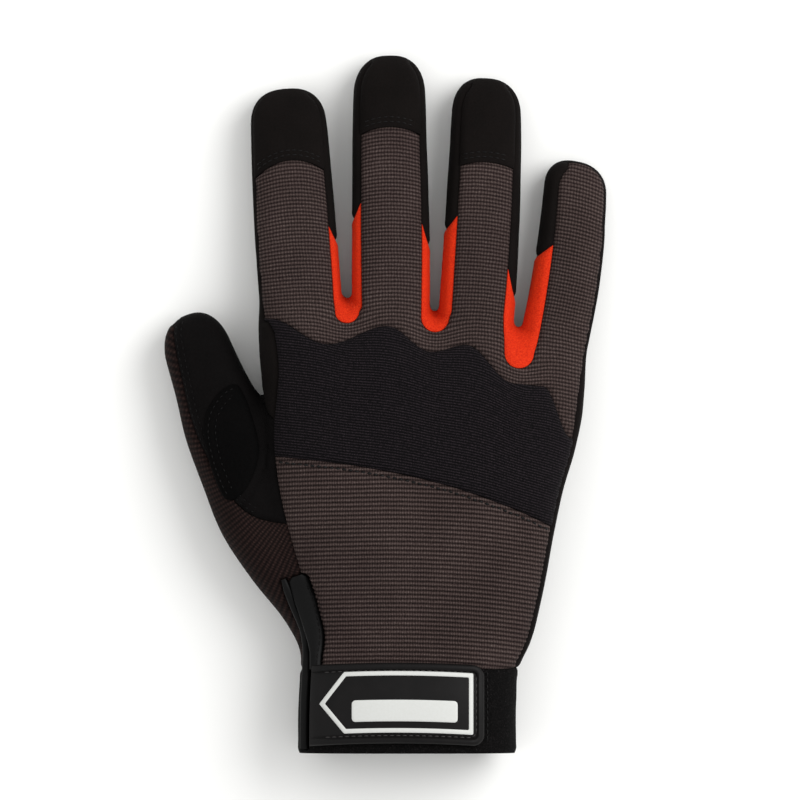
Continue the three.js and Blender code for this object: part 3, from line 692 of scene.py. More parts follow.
def between_axes(left, right):
    return area([*LINES_OF_FINGERS[left], *LINES_OF_FINGERS[right][::-1]])


# Meshes


def make_piece(name, p, faces, attributes=(), crease=45):
    """A mesh object of triangles from places in the hand's frame, in mm."""
    mesh = bpy.data.meshes.new(name)
    mesh.vertices.add(len(p))
    mesh.vertices.foreach_set("co", ((p + HAND_ORIGIN) * MM).astype(np.float32).ravel())
    mesh.loops.add(faces.size)
    mesh.loops.foreach_set("vertex_index", faces.astype(np.int32).ravel())
    mesh.polygons.add(len(faces))
    mesh.polygons.foreach_set("loop_start", np.arange(0, faces.size, 3, dtype=np.int32))
    for key, values in attributes:
        column = mesh.attributes.new(key, "FLOAT", "POINT")
        column.data.foreach_set("value", np.asarray(values, np.float32))
    mesh.update(calc_edges=True)
    mesh.validate()
    mesh.shade_smooth()
    mesh.set_sharp_from_angle(angle=math.radians(crease))
    piece = bpy.data.objects.new(name, mesh)
    bpy.context.scene.collection.objects.link(piece)
    return piece


def grid_mesh(x, y):
    """The places of a grid in plan, and its triangles."""
    gx, gy = (grid.ravel() for grid in np.meshgrid(x, y, indexing="ij"))
    index = np.arange(len(gx)).reshape(len(x), len(y))
    a, b, c, d = index[:-1, :-1], index[1:, :-1], index[1:, 1:], index[:-1, 1:]
    faces = [np.stack(corners, axis=-1).reshape(-1, 3) for corners in ((a, b, c), (a, c, d))]
    return gx, gy, np.concatenate(faces)


def facing_out(p, faces):
    """Faces turned so that they look out of a closed body."""
    a, b, c = (p[faces[:, k]] - p.mean(0) for k in range(3))
    volume = np.einsum("ij,ij->i", a, np.cross(b, c)).sum()
    return faces if volume > 0 else faces[:, ::-1]


def finished(piece, slot, material, *nodes):
    piece.data.materials.append(material)
    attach(piece, "root")
    if nodes:
        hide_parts(*nodes)
    return piece


# How a panel's surface runs near its seams: it turns down into the seam, and swells a little
# beside it where the turned allowance lies underneath.
TURN_DEPTH = 0.9
TURN_REACH = 0.75
WELT_HEIGHT = 0.12
WELT_PLACE = 2.0
WELT_REACH = 0.9
SEAM_HALF = 0.03
SLIT_DEPTH = 2.2  # how far the cloth is tucked in under the slit's rolled edges
SLIT_REACH = 1.2


def edge_profile(d, depth=TURN_DEPTH):
    welt = WELT_HEIGHT * np.exp(-(((d - WELT_PLACE) / WELT_REACH) ** 2))
    return welt - depth * np.exp(-d / TURN_REACH)


def ease(p):
    """The small unevenness of soft cloth over a whole glove."""
    x, y, z = p.T
    long_wave = np.sin(x / 9.1 + 0.7 + 0.9 * np.sin(y / 23))
    long_wave = long_wave * np.sin(y / 12.7 + 0.5 * np.sin(x / 15 + 1))
    short_wave = np.sin(x / 4.3 + y / 7.9 + z / 6.1) * np.sin(y / 5.3 - x / 8.7 + 0.4)
    return 0.16 * long_wave + 0.05 * short_wave


skin_points, skin_faces = whole_skin()
panel_meshes = {}


def cut_panel(*fields):
    p, faces = skin_points, skin_faces
    for field in fields:
        p, faces = clip(p, faces, field(p) - SEAM_HALF)
    return p, faces


def dressed(name, p, faces, proud=0.0, thickness=1.2, attributes=(), depth=TURN_DEPTH, relief=0.0):
    """A closed panel over a patch of the skin."""
    normals = unit(outward(p))
    d = border_distance(p, faces)
    tucked = SLIT_DEPTH * np.clip(SLIT(p) / SLIT_REACH + 0.5, 0, 1)
    lift = proud + ease(p) + edge_profile(d, depth) + relief - tucked
    top = p + normals * lift[:, None]
    top[:, 2] = np.maximum(top[:, 2], 0.02)
    under = p + normals * (np.minimum(lift, proud) - thickness)[:, None]
    under[:, 2] = np.maximum(under[:, 2], 0.01)
    body, body_faces = walled(top, under, faces)
    doubled = [(key, np.concatenate([values, values])) for key, values in attributes]
    panel_meshes[name] = (top, faces)
    return make_piece(f"{name}_dressed", body, body_faces, doubled)


# Knit panels: rows of mesh lie along the ribs, so that each rib is modelled.
FINGER_RIB = 1.31
FINGER_WALE = 1.07
BACK_RIB = 1.52
BACK_WALE = 0.92
KNUCKLE_RIB = 0.95
FALL_PLACES = (-60, -38, -5, 26, 54, 75)
FALLS = (0.04, 0.05, 0.0, -0.09, -0.23, -0.27)
FALL_X = np.linspace(-95, 95, 400)
FALL_Y = np.cumsum(np.interp(FALL_X, FALL_PLACES, FALLS)) * (FALL_X[1] - FALL_X[0])
FALL_Y -= np.interp(0, FALL_X, FALL_Y)
WEB_PULL = 3.4
WEB_PULL_WIDTH = 8.5
WEB_PULL_LENGTH = 18.0
RIB_BOWS = {"index": 4.2, "middle": 2.6, "ring": 2.0, "little": 2.2}
ROOT_LINE = 0.97 * HAND_LENGTH


def across_fingers(x, y):
    """Where places lie across their finger, in half widths, how far a finger's axis has run
    sideways since its root, and how far its ribs bow."""
    lines = [np.array(axis_line(name)) for name in FINGERS]
    axes = np.stack([np.interp(y, line[:, 1], line[:, 0]) for line in lines])
    roots = np.array([np.interp(ROOT_LINE, line[:, 1], line[:, 0]) for line in lines])
    nearest = np.abs(x - axes).argmin(0)
    halves = np.array([DIGITS[name].width / 2 for name in FINGERS])
    axis = np.take_along_axis(axes, nearest[None], 0)[0]
    bows = np.array([RIB_BOWS[name] for name in FINGERS])
    run = np.where(y > ROOT_LINE, axis - roots[nearest], 0)
    return (x - axis) / halves[nearest], run, bows[nearest]


def rib_place(x, r):
    """How far up the hand a rib lies: ribs fall towards the little finger, bow over the fingers and
    are pulled down under the webs."""
    y = r + np.interp(x, FALL_X, FALL_Y)
    u, _, bow = across_fingers(x, y)
    y = y - bow * np.clip((y - ROOT_LINE) / 62, 0, 1) ** 1.2 * np.minimum(u * u, 1.2)
    for web in WEBS:
        low_x, low_y = plan(web.across, web.along)
        below = low_y + 2 - y
        fade = np.exp(-np.maximum(below, 0) / WEB_PULL_LENGTH - np.maximum(-below, 0) / 8)
        y = y - WEB_PULL * fade * np.exp(-(((x - low_x) / WEB_PULL_WIDTH) ** 2))
    return y


def settled(heights, step, reach=3.0, most=0.7):
    """Heights evened out up the hand, where cloth bridges a small crease. Steep drops are kept."""
    span = int(3 * reach / step)
    weights = np.exp(-0.5 * (np.arange(-span, span + 1) * step / reach) ** 2)
    weights /= weights.sum()
    padded = np.pad(heights, ((0, 0), (span, span)), mode="edge")
    even = sum(w * padded[:, k : k + heights.shape[1]] for k, w in enumerate(weights))
    return heights + (even - heights) * np.exp(-(((even - heights) / most) ** 4))


def rib_shape(turns, sharpness=0.8):
    return np.abs(np.sin(math.pi * turns)) ** sharpness - 0.6


def groove(p, lines, deep=0.3, reach=0.5):
    """The dent that rows of stitches pull into a panel."""
    dent = np.zeros(len(p))
    for line in lines:
        line = spaced(line, 0.4)
        near = np.flatnonzero(((p[:, :2] > line.min(0) - 3) & (p[:, :2] < line.max(0) + 3)).all(1))
        for part in np.array_split(near, len(near) // 4000 + 1):
            if len(part):
                gaps = np.hypot(*(p[part, None, :2] - line[None]).transpose(2, 0, 1)).min(1)
                dent[part] = np.maximum(dent[part], deep * np.exp(-((gaps / reach) ** 2)))
    return dent


def spaced(line, pitch):
    """A line in plan with points at an even pitch."""
    line = np.array(line)[:, :2]
    run = np.concatenate([[0], np.cumsum(np.hypot(*np.diff(line, axis=0).T))])
    at = np.arange(0, run[-1], pitch)
    return np.stack([np.interp(at, run, line[:, 0]), np.interp(at, run, line[:, 1])], axis=1)


def ribbed_panel(
    name, x_span, r_span, pitch, rows, fields, proud=0.0, depth=0.19, column=0.85, crown=0.0,
    grooves=(), wale=BACK_WALE, slant=0.0,
):
    """A panel whose mesh runs along its ribs, a number of rows of it to a rib. Spans are across the
    hand and up it, in mm, and crown is how far the panel swells towards its middle."""
    x = np.arange(*x_span, column)
    r = np.arange(*r_span, pitch / rows)
    gx, gr, faces = grid_mesh(x, r)
    gy = rib_place(gx, gr) + slant * gx
    heights = settled(top_height(gx, gy).reshape(len(x), len(r)), pitch / rows)
    p = np.stack([gx, gy, heights.ravel(), gr / pitch], axis=1)
    for field in fields:
        p, faces = clip(p, faces, field(p) - SEAM_HALF)
    turns = p[:, 3]
    p = p[:, :3].copy()
    inset = border_distance(p, faces)
    ribs = depth * rib_shape(turns) * np.clip(inset / 0.9, 0.4, 1)
    relief = ribs + crown * (1 - np.exp(-inset / 7)) - groove(p, grooves)
    wales = (p[:, 0] - across_fingers(p[:, 0], p[:, 1])[1]) / wale
    patterns = (("rib", turns), ("wale", wales))
    return dressed(name, p, faces, proud=proud, attributes=patterns, relief=relief)


# Materials


def linear(hex_colour):
    """An sRGB hex colour as linear red, green, blue and alpha."""
    parts = [int(hex_colour[i : i + 2], 16) / 255 for i in (1, 3, 5)]
    return (*[c / 12.92 if c <= 0.04045 else ((c + 0.055) / 1.055) ** 2.4 for c in parts], 1.0)


def add_node(tree, kind, inputs=(), output=0, stops=(), **settings):
    """Adds a shader node with its settings and gives back one of its outputs. Its inputs, by name
    or in order, are values or other nodes' outputs. Stops are places and colours along a ramp."""
    node = tree.nodes.new(f"ShaderNode{kind}")
    for key, value in settings.items():
        setattr(node, key, value)
    for key, value in inputs.items() if isinstance(inputs, dict) else enumerate(inputs):
        if isinstance(value, bpy.types.NodeSocket):
            tree.links.new(value, node.inputs[key])
        else:
            node.inputs[key].default_value = value
    if stops:
        elements = node.color_ramp.elements
        elements.remove(elements[1])
        elements[0].position = stops[0][0]
        elements[0].color = linear(stops[0][1])
        for place, colour in stops[1:]:
            elements.new(place).color = linear(colour)
    return node.outputs[output]


def new_material(name, roughness, gloss, ior=1.5, colour="#000000"):
    """A material and its shader. Gloss is how much of a smooth face's shine is left: loose fibres
    scatter most of it away."""
    material = bpy.data.materials.new(name)
    material.use_nodes = True
    shader = material.node_tree.nodes["Principled BSDF"]
    shader.inputs["Roughness"].default_value = roughness
    shader.inputs["Specular IOR Level"].default_value = gloss
    shader.inputs["IOR"].default_value = ior
    shader.inputs["Base Color"].default_value = linear(colour)
    return material, material.node_tree, shader


def faced(tree, shader, height=None, depth=0.0, shade=None, stops=()):
    """Gives a shader the fine relief of its face, with its depth in mm, and its colours by shade."""
    if height is not None:
        relief = {"Height": height, "Strength": 1.0, "Distance": depth * MM}
        tree.links.new(add_node(tree, "Bump", relief), shader.inputs["Normal"])
    if shade is not None:
        colour = add_node(tree, "ValToRGB", (shade,), stops=stops)
        tree.links.new(colour, shader.inputs["Base Color"])


def weighted(tree, start, *parts):
    """The sum of patterns by their weights, from a start."""
    total = start
    for pattern, weight in parts:
        total = add_node(tree, "Math", (pattern, weight, total), operation="MULTIPLY_ADD")
    return total


def ridges(tree, turns):
    """From 0 at a whole turn to 1 half way between."""
    angle = add_node(tree, "Math", (turns, 2 * math.pi), operation="MULTIPLY")
    cosine = add_node(tree, "Math", (angle,), operation="COSINE")
    return weighted(tree, 0.5, (cosine, -0.5))


def blots(size, detail=3.0, roughness=0.55):
    """Settings of noise whose blots are about a size in mm across. Fibres and grain are drawn
    0.4 to 0.9 mm wide, coarser than real ones, so that they show."""
    return {"Scale": 1 / (size * MM), "Detail": detail, "Roughness": roughness}


def rib_knit(name, *stops):
    """Rib-knit polyester: dull brown-grey ridges dotted with stitches, and small dark holes down the
    furrows between them.
    Its colour is darker down the furrows than on the ridges: the holes are the knit's own, and the rest
    is painted shade in the furrows."""
    material, tree, shader = new_material(name, roughness=0.9, gloss=0.1)
    place = {"Vector": add_node(tree, "TexCoord", output="Object")}
    rib = add_node(tree, "Attribute", output="Fac", attribute_name="rib")
    wale = add_node(tree, "Attribute", output="Fac", attribute_name="wale")
    slack = add_node(tree, "TexNoise", place | blots(3.0))
    wobble = weighted(tree, -0.5, (slack, 1.0))
    ridge = ridges(tree, weighted(tree, rib, (wobble, 0.22)))
    ridge = add_node(tree, "Math", (ridge, 0.7), operation="POWER")
    stitch = ridges(tree, weighted(tree, wale, (wobble, 1.0)))
    fibre = add_node(tree, "TexNoise", place | blots(0.42, detail=2.0))
    cloud = add_node(tree, "TexNoise", place | blots(22.0, detail=2.0))
    threads = weighted(tree, 0.0, (stitch, 0.21), (ridge, 0.42))
    # The ridges also set the colour, darker down the furrows: the knit's holes, and painted shade in
    # the furrows.
    shade = weighted(tree, -0.22, (cloud, 0.2), (fibre, 0.62), (threads, 1.0))
    faced(tree, shader, threads, 0.3, shade, stops)
    return material


def knit_neoprene():
    """Neoprene faced with fine ribbed jersey: near black, with thin grey-violet lines of light."""
    material, tree, shader = new_material("knit_faced_neoprene", roughness=0.9, gloss=0.1)
    place = {"Vector": add_node(tree, "TexCoord", output="Object")}
    ridge = ridges(tree, add_node(tree, "Attribute", output="Fac", attribute_name="rib"))
    stitch = ridges(tree, add_node(tree, "Attribute", output="Fac", attribute_name="wale"))
    fibre = add_node(tree, "TexNoise", place | blots(0.4, detail=2.0))
    shade = weighted(tree, 0.0, (stitch, 0.05), (ridge, 0.34), (fibre, 0.85))
    stops = ((0.38, "#010001"), (0.64, "#080608"), (0.95, "#2a2327"))
    faced(tree, shader, shade, 0.12, shade, stops)
    return material


def napped(name, low, high, grain_size, depth, gloss=0.08, roughness=0.92):
    """A napped or grained face: two close tones in fine blots, and a fine relief."""
    material, tree, shader = new_material(name, roughness, gloss)
    place = {"Vector": add_node(tree, "TexCoord", output="Object")}
    grain = add_node(tree, "TexNoise", place | blots(grain_size, detail=4.0, roughness=0.7))
    cloud = add_node(tree, "TexNoise", place | blots(14.0, detail=2.0))
    shade = weighted(tree, 0.0, (grain, 0.6), (cloud, 0.4))
    faced(tree, shader, grain, depth, shade, ((0.3, low), (0.7, high)))
    return material


def loop_fabric():
    """Brushed loop fabric: black, matted, with pale specks where loops catch the light."""
    material, tree, shader = new_material("brushed_loop_fabric", roughness=0.95, gloss=0.05)
    place = {"Vector": add_node(tree, "TexCoord", output="Object")}
    loops = add_node(tree, "TexNoise", place | blots(0.5, detail=4.0, roughness=0.75))
    stops = ((0.35, "#020202"), (0.55, "#0d0c0c"), (0.66, "#1f1d1d"), (0.76, "#4a4848"))
    faced(tree, shader, loops, 0.5, loops, stops)
    return material


def orange_stretch():
    """Brushed two-way stretch: saturated red-orange, a little fuzzy."""
    material, tree, shader = new_material("orange_brushed_stretch", roughness=0.85, gloss=0.15)
    shader.inputs["Sheen Weight"].default_value = 0.05
    shader.inputs["Sheen Roughness"].default_value = 0.5
    shader.inputs["Sheen Tint"].default_value = linear("#ff6a3a")
    place = {"Vector": add_node(tree, "TexCoord", output="Object")}
    fuzz = add_node(tree, "TexNoise", place | blots(0.5, detail=4.0, roughness=0.7))
    stops = ((0.25, "#961500"), (0.5, "#c42605"), (0.8, "#de4013"))
    faced(tree, shader, fuzz, 0.18, fuzz, stops)
    return material


def coated_binding():
    """Thin polyurethane-coated tape: black and smooth, with a soft gloss along its roll."""
    material, tree, shader = new_material("coated_tape", 0.5, gloss=0.13, ior=1.48, colour="#030303")
    place = {"Vector": add_node(tree, "TexCoord", output="Object")}
    pores = add_node(tree, "TexNoise", place | blots(0.9))
    faced(tree, shader, pores, 0.06)
    return material


def moulded_vinyl():
    """Moulded soft vinyl: black and satin, with the faint mottle of the mould."""
    material, tree, shader = new_material("moulded_soft_vinyl", roughness=0.52, gloss=0.14)
    place = {"Vector": add_node(tree, "TexCoord", output="Object")}
    mottle = add_node(tree, "TexNoise", place | blots(5.0, detail=2.0))
    pores = add_node(tree, "TexNoise", place | blots(0.5))
    faced(tree, shader, pores, 0.03, mottle, ((0.3, "#070606"), (0.7, "#0c0a0a")))
    return material


def white_print():
    """Raised white ink: an even off-white with a slight satin."""
    material, tree, shader = new_material("raised_white_ink", roughness=0.5, gloss=0.5)
    place = {"Vector": add_node(tree, "TexCoord", output="Object")}
    tone = add_node(tree, "TexNoise", place | blots(0.8))
    faced(tree, shader, shade=tone, stops=((0.3, "#c1c2be"), (0.7, "#c5c6c3")))
    return material


def thread(name, colour, gloss):
    """Bonded sewing thread: black, with a slight gloss, some of it waxed. One thread is painted dark
    grey for the highlights along its stitches.
    """
    return new_material(name, 0.5, gloss, ior=1.55, colour=colour)[0]


RIB_KNIT = rib_knit(
    "rib_knit_polyester",
    (0.12, "#0b0706"), (0.34, "#1f1716"), (0.6, "#352a28"), (0.82, "#4b403d"), (1.0, "#685b57"),
)
# The thumb's knit is the same cloth as the rest, painted darker and redder for the shade it lies in,
# turned away from the key light.
SHADED_THUMB_KNIT = rib_knit(
    "rib_knit_polyester_close",
    (0.15, "#050101"), (0.4, "#0f0807"), (0.65, "#1b100e"), (0.85, "#2a1d1a"), (1.0, "#3d2e2a"),
)
NEOPRENE = knit_neoprene()
SUEDE = napped("synthetic_suede", "#080605", "#120e0d", 0.6, 0.12)
LEATHER = napped("synthetic_leather", "#030202", "#0a0808", 0.9, 0.1, gloss=0.06, roughness=0.8)
# The patch's leather is the thumb's leather painted darker, for the shade the patch lies in beside the
# hand.
SHADED_PATCH_LEATHER = napped(
    "patch_synthetic_leather", "#010101", "#060505", 0.9, 0.1, gloss=0.04, roughness=0.8
)
PALM_LEATHER = napped("palm_synthetic_leather", "#080707", "#131110", 0.9, 0.12, roughness=0.82)
LOOP_FABRIC = loop_fabric()
ORANGE = orange_stretch()
TAPE = coated_binding()
VINYL = moulded_vinyl()
WHITE = white_print()
BLACK_THREAD = thread("black_thread", "#050404", 0.15)
WAXED_THREAD = thread("waxed_black_thread", "#060505", 0.1)
# Painted dark grey for the highlights along the tab's stitches.
HIGHLIGHT_PAINTED_THREAD = thread("dusty_black_thread", "#221e1d", 0.4)


# Stitches
STITCH_PITCH = 2.2
STITCH_LENGTH = 1.75
THREAD = 0.42
THIN_STITCH = {"wide": 0.38, "long": 1.25}
ABOVE_ALL = 90.0


def sewn(name, lines, panels, slot, material, wide=THREAD, long=STITCH_LENGTH, sides=6, rings=6):
    """Rows of stitches along lines in plan, each stitch an arch of thread over a panel's surface."""
    p, faces = zip(*[panel_meshes[panel] for panel in panels])
    shift = np.cumsum([0, *[len(part) for part in p[:-1]]])
    p = np.concatenate(p)
    faces = np.concatenate([part + first for part, first in zip(faces, shift)])
    tree = BVHTree.FromPolygons(p.tolist(), faces.tolist())
    points, skins = [], []
    turns = np.arange(sides) * 2 * math.pi / sides
    for line in lines:
        line = spaced(line, STITCH_PITCH)
        for start, end in zip(line, line[1:]):
            middle = (start + end) / 2
            half = (end - start) * long / STITCH_PITCH / 2
            above = [Vector((*q, ABOVE_ALL)) for q in (middle - half, middle, middle + half)]
            spots = [tree.ray_cast(q, Vector((0, 0, -1))) for q in above]
            if any(spot[0] is None for spot in spots):
                continue
            a, m, b = (np.array(spot[0]) for spot in spots)
            up = unit(np.array(spots[1][1])[None])[0]
            up = up if up[2] > 0 else -up
            ahead = unit((b - a)[None])[0]
            beside = np.cross(ahead, up)
            first = len(points)
            for k in range(rings + 1):
                t = k / rings
                arch = math.sin(math.pi * t) ** 0.6
                centre = a + (b - a) * t + (m - (a + b) / 2) * 4 * t * (1 - t)
                centre = centre + up * wide * (0.55 * arch - 0.35)
                reach = wide / 2 * (0.25 + 0.75 * arch)
                points.extend(centre + reach * (math.cos(u) * beside + math.sin(u) * up) for u in turns)
            for k in range(rings):
                low, high = first + k * sides, first + (k + 1) * sides
                for j in range(sides):
                    i = (j + 1) % sides
                    skins += [(low + j, low + i, high + i), (low + j, high + i, high + j)]
            for ring, order in ((first, -1), (first + rings * sides, 1)):
                skins += [(ring, ring + j, ring + j + 1)[::order] for j in range(1, sides - 1)]
    p, faces = np.array(points), np.array(skins)
    piece = make_piece(name, p, facing_out(p, faces), crease=60)
    return finished(piece, slot, material)


def kept_inside(line, field, margin):
    """The part of a line in plan that lies inside an area by a margin."""
    line = spaced(line, 0.5)
    flat = np.concatenate([line, np.full((len(line), 1), 50.0)], axis=1)
    return line[field(flat) > margin]


CAP_ROWS = (1.8, 3.4)  # from the hem
cap_rows = {
    name: [kept_inside(cap_hem(name, lift), BACK, 0.9) for lift in CAP_ROWS] for name in CAPS
}
THUMB_ROWS = (1.3, 3.0)  # inside the thumb's left seam
knit_seam = plan_line(THUMB_KNIT_SEAM)
thumb_rows = [carried(knit_seam, row)[3:-8] for row in THUMB_ROWS]
PATCH_ROWS = (1.4, 3.9)  # inside the saddle patch's edge
patch_line = smooth_line([plan(*row) for row in PATCH_EDGE], 60)
patch_rows = [carried(patch_line, row)[6:-16] for row in PATCH_ROWS]
HEM_ROW = 1.9  # below the knuckle panel
hem_rows = [kept_inside(plan_line(KNUCKLE_HEM) - np.array([0, HEM_ROW]), BACK, 0.8)]
GUSSET_ROW = 1.7  # inside the gusset's right edge
gusset_rows = [carried(gusset_line, gusset_widths / 2 - GUSSET_ROW)[5:-1]]
# The seam beside the patch
CROTCH_FOLD = np.array([(-57.8, 84.4), (-53.0, 91.0), (-48.9, 98.6), (-48.4, 106.0)])


# The panels


def panel(name, slot, material, *fields, nodes=(), rows=(), **shape):
    """A finished panel cut from the skin by fields, with grooves under its rows of stitches."""
    p, faces = cut_panel(*fields)
    piece = dressed(name, p, faces, relief=-groove(p, rows), **shape)
    return finished(piece, slot, material, *(nodes or [name]))


finger_knit = ribbed_panel(
    "finger_back_knit", (-56, 70), (78, 222), FINGER_RIB, 6,
    [BACK, ABOVE_SCALLOPS, *[outside_of(cap) for cap in CAPS.values()]], wale=FINGER_WALE,
)
finished(finger_knit, "rib_knit", RIB_KNIT, "finger_back_knit")
knuckle = ribbed_panel(
    "knuckle_panel", (-56, 70), (54, 168), KNUCKLE_RIB, 4,
    [BACK, outside_of(ABOVE_SCALLOPS), ABOVE_HEM],
    proud=0.35, depth=0.12, column=1.0, crown=0.75, slant=-0.16,
)
finished(knuckle, "neoprene", NEOPRENE, "knuckle_panel")
hand_knit = ribbed_panel(
    "hand_back_knit", (-50, 66), (22, 122), BACK_RIB, 7,
    [BACK, outside_of(ABOVE_HEM), along_over(CUFF_HEIGHT)],
    depth=0.38, grooves=hem_rows,
)
finished(hand_knit, "rib_knit", RIB_KNIT, "hand_back_knit")

for name, cap in CAPS.items():
    rows = cap_rows[name]
    panel(f"{name}_tip_cap", "suede", SUEDE, BACK, cap, rows=rows, proud=0.45, depth=0.6)
    sewn(f"{name}_cap_stitches", rows, [f"{name}_tip_cap"], "suede", BLACK_THREAD)
sewn("knuckle_hem_stitches", hem_rows, ["hand_back_knit"], "rib_knit", BLACK_THREAD, wide=0.8)

for web in WEBS:
    sector = between_axes(web.left, web.right)
    left_end, right_end = GUSSETS[web.left, 1], GUSSETS[web.right, -1]
    between_ends = (SIDES, sector, outside_of(left_end), outside_of(right_end))
    panel(f"web_{web.name}", "stretch_orange", ORANGE, *between_ends, depth=0.6)
    for finger, side, end in ((web.left, "right", left_end), (web.right, "left", right_end)):
        panel(f"{finger}_{side}_side", "suede", SUEDE, SIDES, sector, end)

left_wall = area([(-FAR, -FAR), (-FAR, FAR), *far_axis("index")[::-1]])
right_wall = area([*far_axis("little"), (FAR, FAR), (FAR, -FAR)])
ON_LEFT = both(SIDES, left_wall)
panel("index_left_side", "suede", SUEDE, ON_LEFT, outside_of(CROTCH))
p, faces = cut_panel(ON_LEFT, CROTCH, outside_of(THUMB_KNIT))
pulled = groove(p, thumb_rows) + groove(p, [CROTCH_FOLD], deep=0.6, reach=0.7)
piece = dressed("thumb_leather", p, faces, relief=-pulled)
finished(piece, "leather", LEATHER, "thumb_leather")
sewn("thumb_seam_stitches", thumb_rows, ["thumb_leather"], "leather", WAXED_THREAD, **THIN_STITCH)
panel("little_right_side", "suede", SUEDE, SIDES, right_wall)

# The thumb's knit has ribs that fan out from the hand.
FAN_CENTRE = np.array([-22.0, 110.0])
FAN_RADIUS = 45.0
THUMB_RIB = 1.5
p, faces = cut_panel(ON_LEFT, THUMB_KNIT)
from_centre = p[:, :2] - FAN_CENTRE
fan_turns = np.arctan2(-from_centre[:, 1], -from_centre[:, 0]) * FAN_RADIUS / THUMB_RIB
fan_wale = np.hypot(*from_centre.T) / BACK_WALE
piece = dressed("thumb_knit", p, faces, attributes=(("rib", fan_turns), ("wale", fan_wale)))
# The thumb's knit takes the copy of the knit painted darker for its shade.
finished(piece, "rib_knit", SHADED_THUMB_KNIT, "thumb_knit")

PATCH = area(smooth_line([plan(*row) for row in (*PATCH_EDGE, PATCH_EDGE[0])], 60))
# The patch takes the leather painted darker for its shade.
panel(
    "thumb_patch", "leather", SHADED_PATCH_LEATHER, SIDES, PATCH,
    rows=patch_rows, proud=1.2, thickness=0.9, depth=0.7,
)
sewn("saddle_patch_stitches", patch_rows, ["thumb_patch"], "leather", WAXED_THREAD, **THIN_STITCH)

PALM = both(lambda p: PALM_SEAM - p[:, 2], along_over(CUFF_HEIGHT))
fronts = [f"{name}_front" for name in DIGITS]
panel("palm_leather", "leather", PALM_LEATHER, PALM, nodes=["palm_panel", *fronts])

BELOW_CUFF_TOP = both(along_over(0.0), lambda p: CUFF_HEIGHT - p[:, 1])
panel("cuff_loop_band", "loop_fabric", LOOP_FABRIC, BELOW_CUFF_TOP, nodes=["cuff_band"], depth=0.5)


# Rolled edges of the wrist slit


def rolled(name, line, widths, tall, lift, sides=20):
    """A soft roll along a line on the glove's back. Its widths are pairs of a share of the line and
    a width in mm."""
    line = np.array(line)
    ahead = aheads(line)
    width = np.interp(np.linspace(0, 1, len(line)), *zip(*widths))
    x, y = line.T
    low = top_height(x, y) + lift
    rings = []
    for k in range(sides):
        turn = 2 * math.pi * k / sides
        u = np.sign(math.cos(turn)) * abs(math.cos(turn)) ** 0.85 * width / 2
        v = math.sin(turn) * tall / 2 * np.minimum(1, width / BINDING_WIDTH)
        rings.append(np.stack([x + ahead[:, 1] * u, y - ahead[:, 0] * u, low + v], axis=1))
    p = np.stack(rings, axis=1).reshape(-1, 3)
    n = len(line)
    i = np.arange(n - 1)[:, None] * sides
    k = np.arange(sides)[None, :]
    a, b = i + k, i + (k + 1) % sides
    faces = [np.stack([a, b, b + sides], axis=-1), np.stack([a, b + sides, a + sides], axis=-1)]
    faces = np.concatenate([f.reshape(-1, 3) for f in faces])
    ends = []
    for first, flip in ((0, 1), ((n - 1) * sides, -1)):
        hub = len(p)
        p = np.concatenate([p, p[first : first + sides].mean(0, keepdims=True)])
        on = [(hub, first + j, first + (j + 1) % sides)[::flip] for j in range(sides)]
        ends.append(np.array(on))
    faces = facing_out(p, np.concatenate([faces, *ends]))
    panel_meshes[name] = (p, faces)
    return make_piece(f"{name}_rolled", p, faces, crease=60)


binding_widths = ((0, 1.6), (0.06, 2.8), (0.5, 3.2), (1, 3.2))
piece = rolled("slit_binding", slit_line(BINDING_LINE, 90), binding_widths, 2.6, 0.45)
finished(piece, "smooth_binding", TAPE, "slit_binding")
piece = rolled("slit_gusset", slit_line(GUSSET_LINE, 70), GUSSET_WIDTHS, 2.4, 0.1)
finished(piece, "smooth_binding", TAPE, "slit_gusset")
sewn("gusset_stitches", gusset_rows, ["slit_gusset"], "smooth_binding", WAXED_THREAD)


# The closure tab


def plan_sheet(low, high, step):
    """A triangle grid in plan between two corners."""
    x, y = (np.arange(low[k], high[k] + step, step) for k in range(2))
    gx, gy, faces = grid_mesh(x, y)
    return np.stack([gx, gy, np.zeros_like(gx)], axis=1), faces


def rounded_outline(low, high, radius):
    left, right = low[0] + radius, high[0] - radius
    lower, upper = low[1] + radius, high[1] - radius
    points = []
    for quarter, (x, y) in enumerate([(right, upper), (left, upper), (left, lower), (right, lower)]):
        turns = np.linspace(quarter, quarter + 1, 9) * math.pi / 2
        points += [(x + radius * math.cos(t), y + radius * math.sin(t)) for t in turns]
    return points


TAB_TUCK = 8.0  # how far the tab would run on under the slit's binding
TAB_GAP = 0.3
TAB_ARCH = 1.1
PRINT_RISE = 0.9
GROOVE_PLACE = RIM_WIDTH + 0.5
tab_low = np.array([TAB_OFFSET - TAB_LENGTH / 2, TAB_RISE - TAB_HEIGHT / 2])
tab_high = np.array([TAB_OFFSET + TAB_LENGTH / 2, TAB_RISE + TAB_HEIGHT / 2])
TAB_AREA = area(rounded_outline(tab_low - np.array([TAB_TUCK, 0]), tab_high, TAB_CORNER))


def tab_profile(d):
    """Height over the tab's field at a distance inside its edge: a rounded welt, then a sewn groove."""
    welt = RIM_HEIGHT * np.clip((RIM_WIDTH - d) / 0.5 + 0.5, 0, 1)
    edge = -0.9 * np.clip(1 - d / 0.9, 0, 1) ** 2
    groove = -0.35 * np.exp(-(((d - GROOVE_PLACE) / 0.45) ** 2))
    return welt + edge + groove


def on_cuff(p, lift):
    """Places at a height over the tab's seat on the cuff, which the pulled strap crosses in an arch."""
    y = p[:, 1] + TAB_ARCH * (0.8 - ((p[:, 0] - TAB_OFFSET) / (TAB_LENGTH / 2)) ** 2)
    return np.stack([p[:, 0], y, top_height(p[:, 0], y) + lift], axis=1)


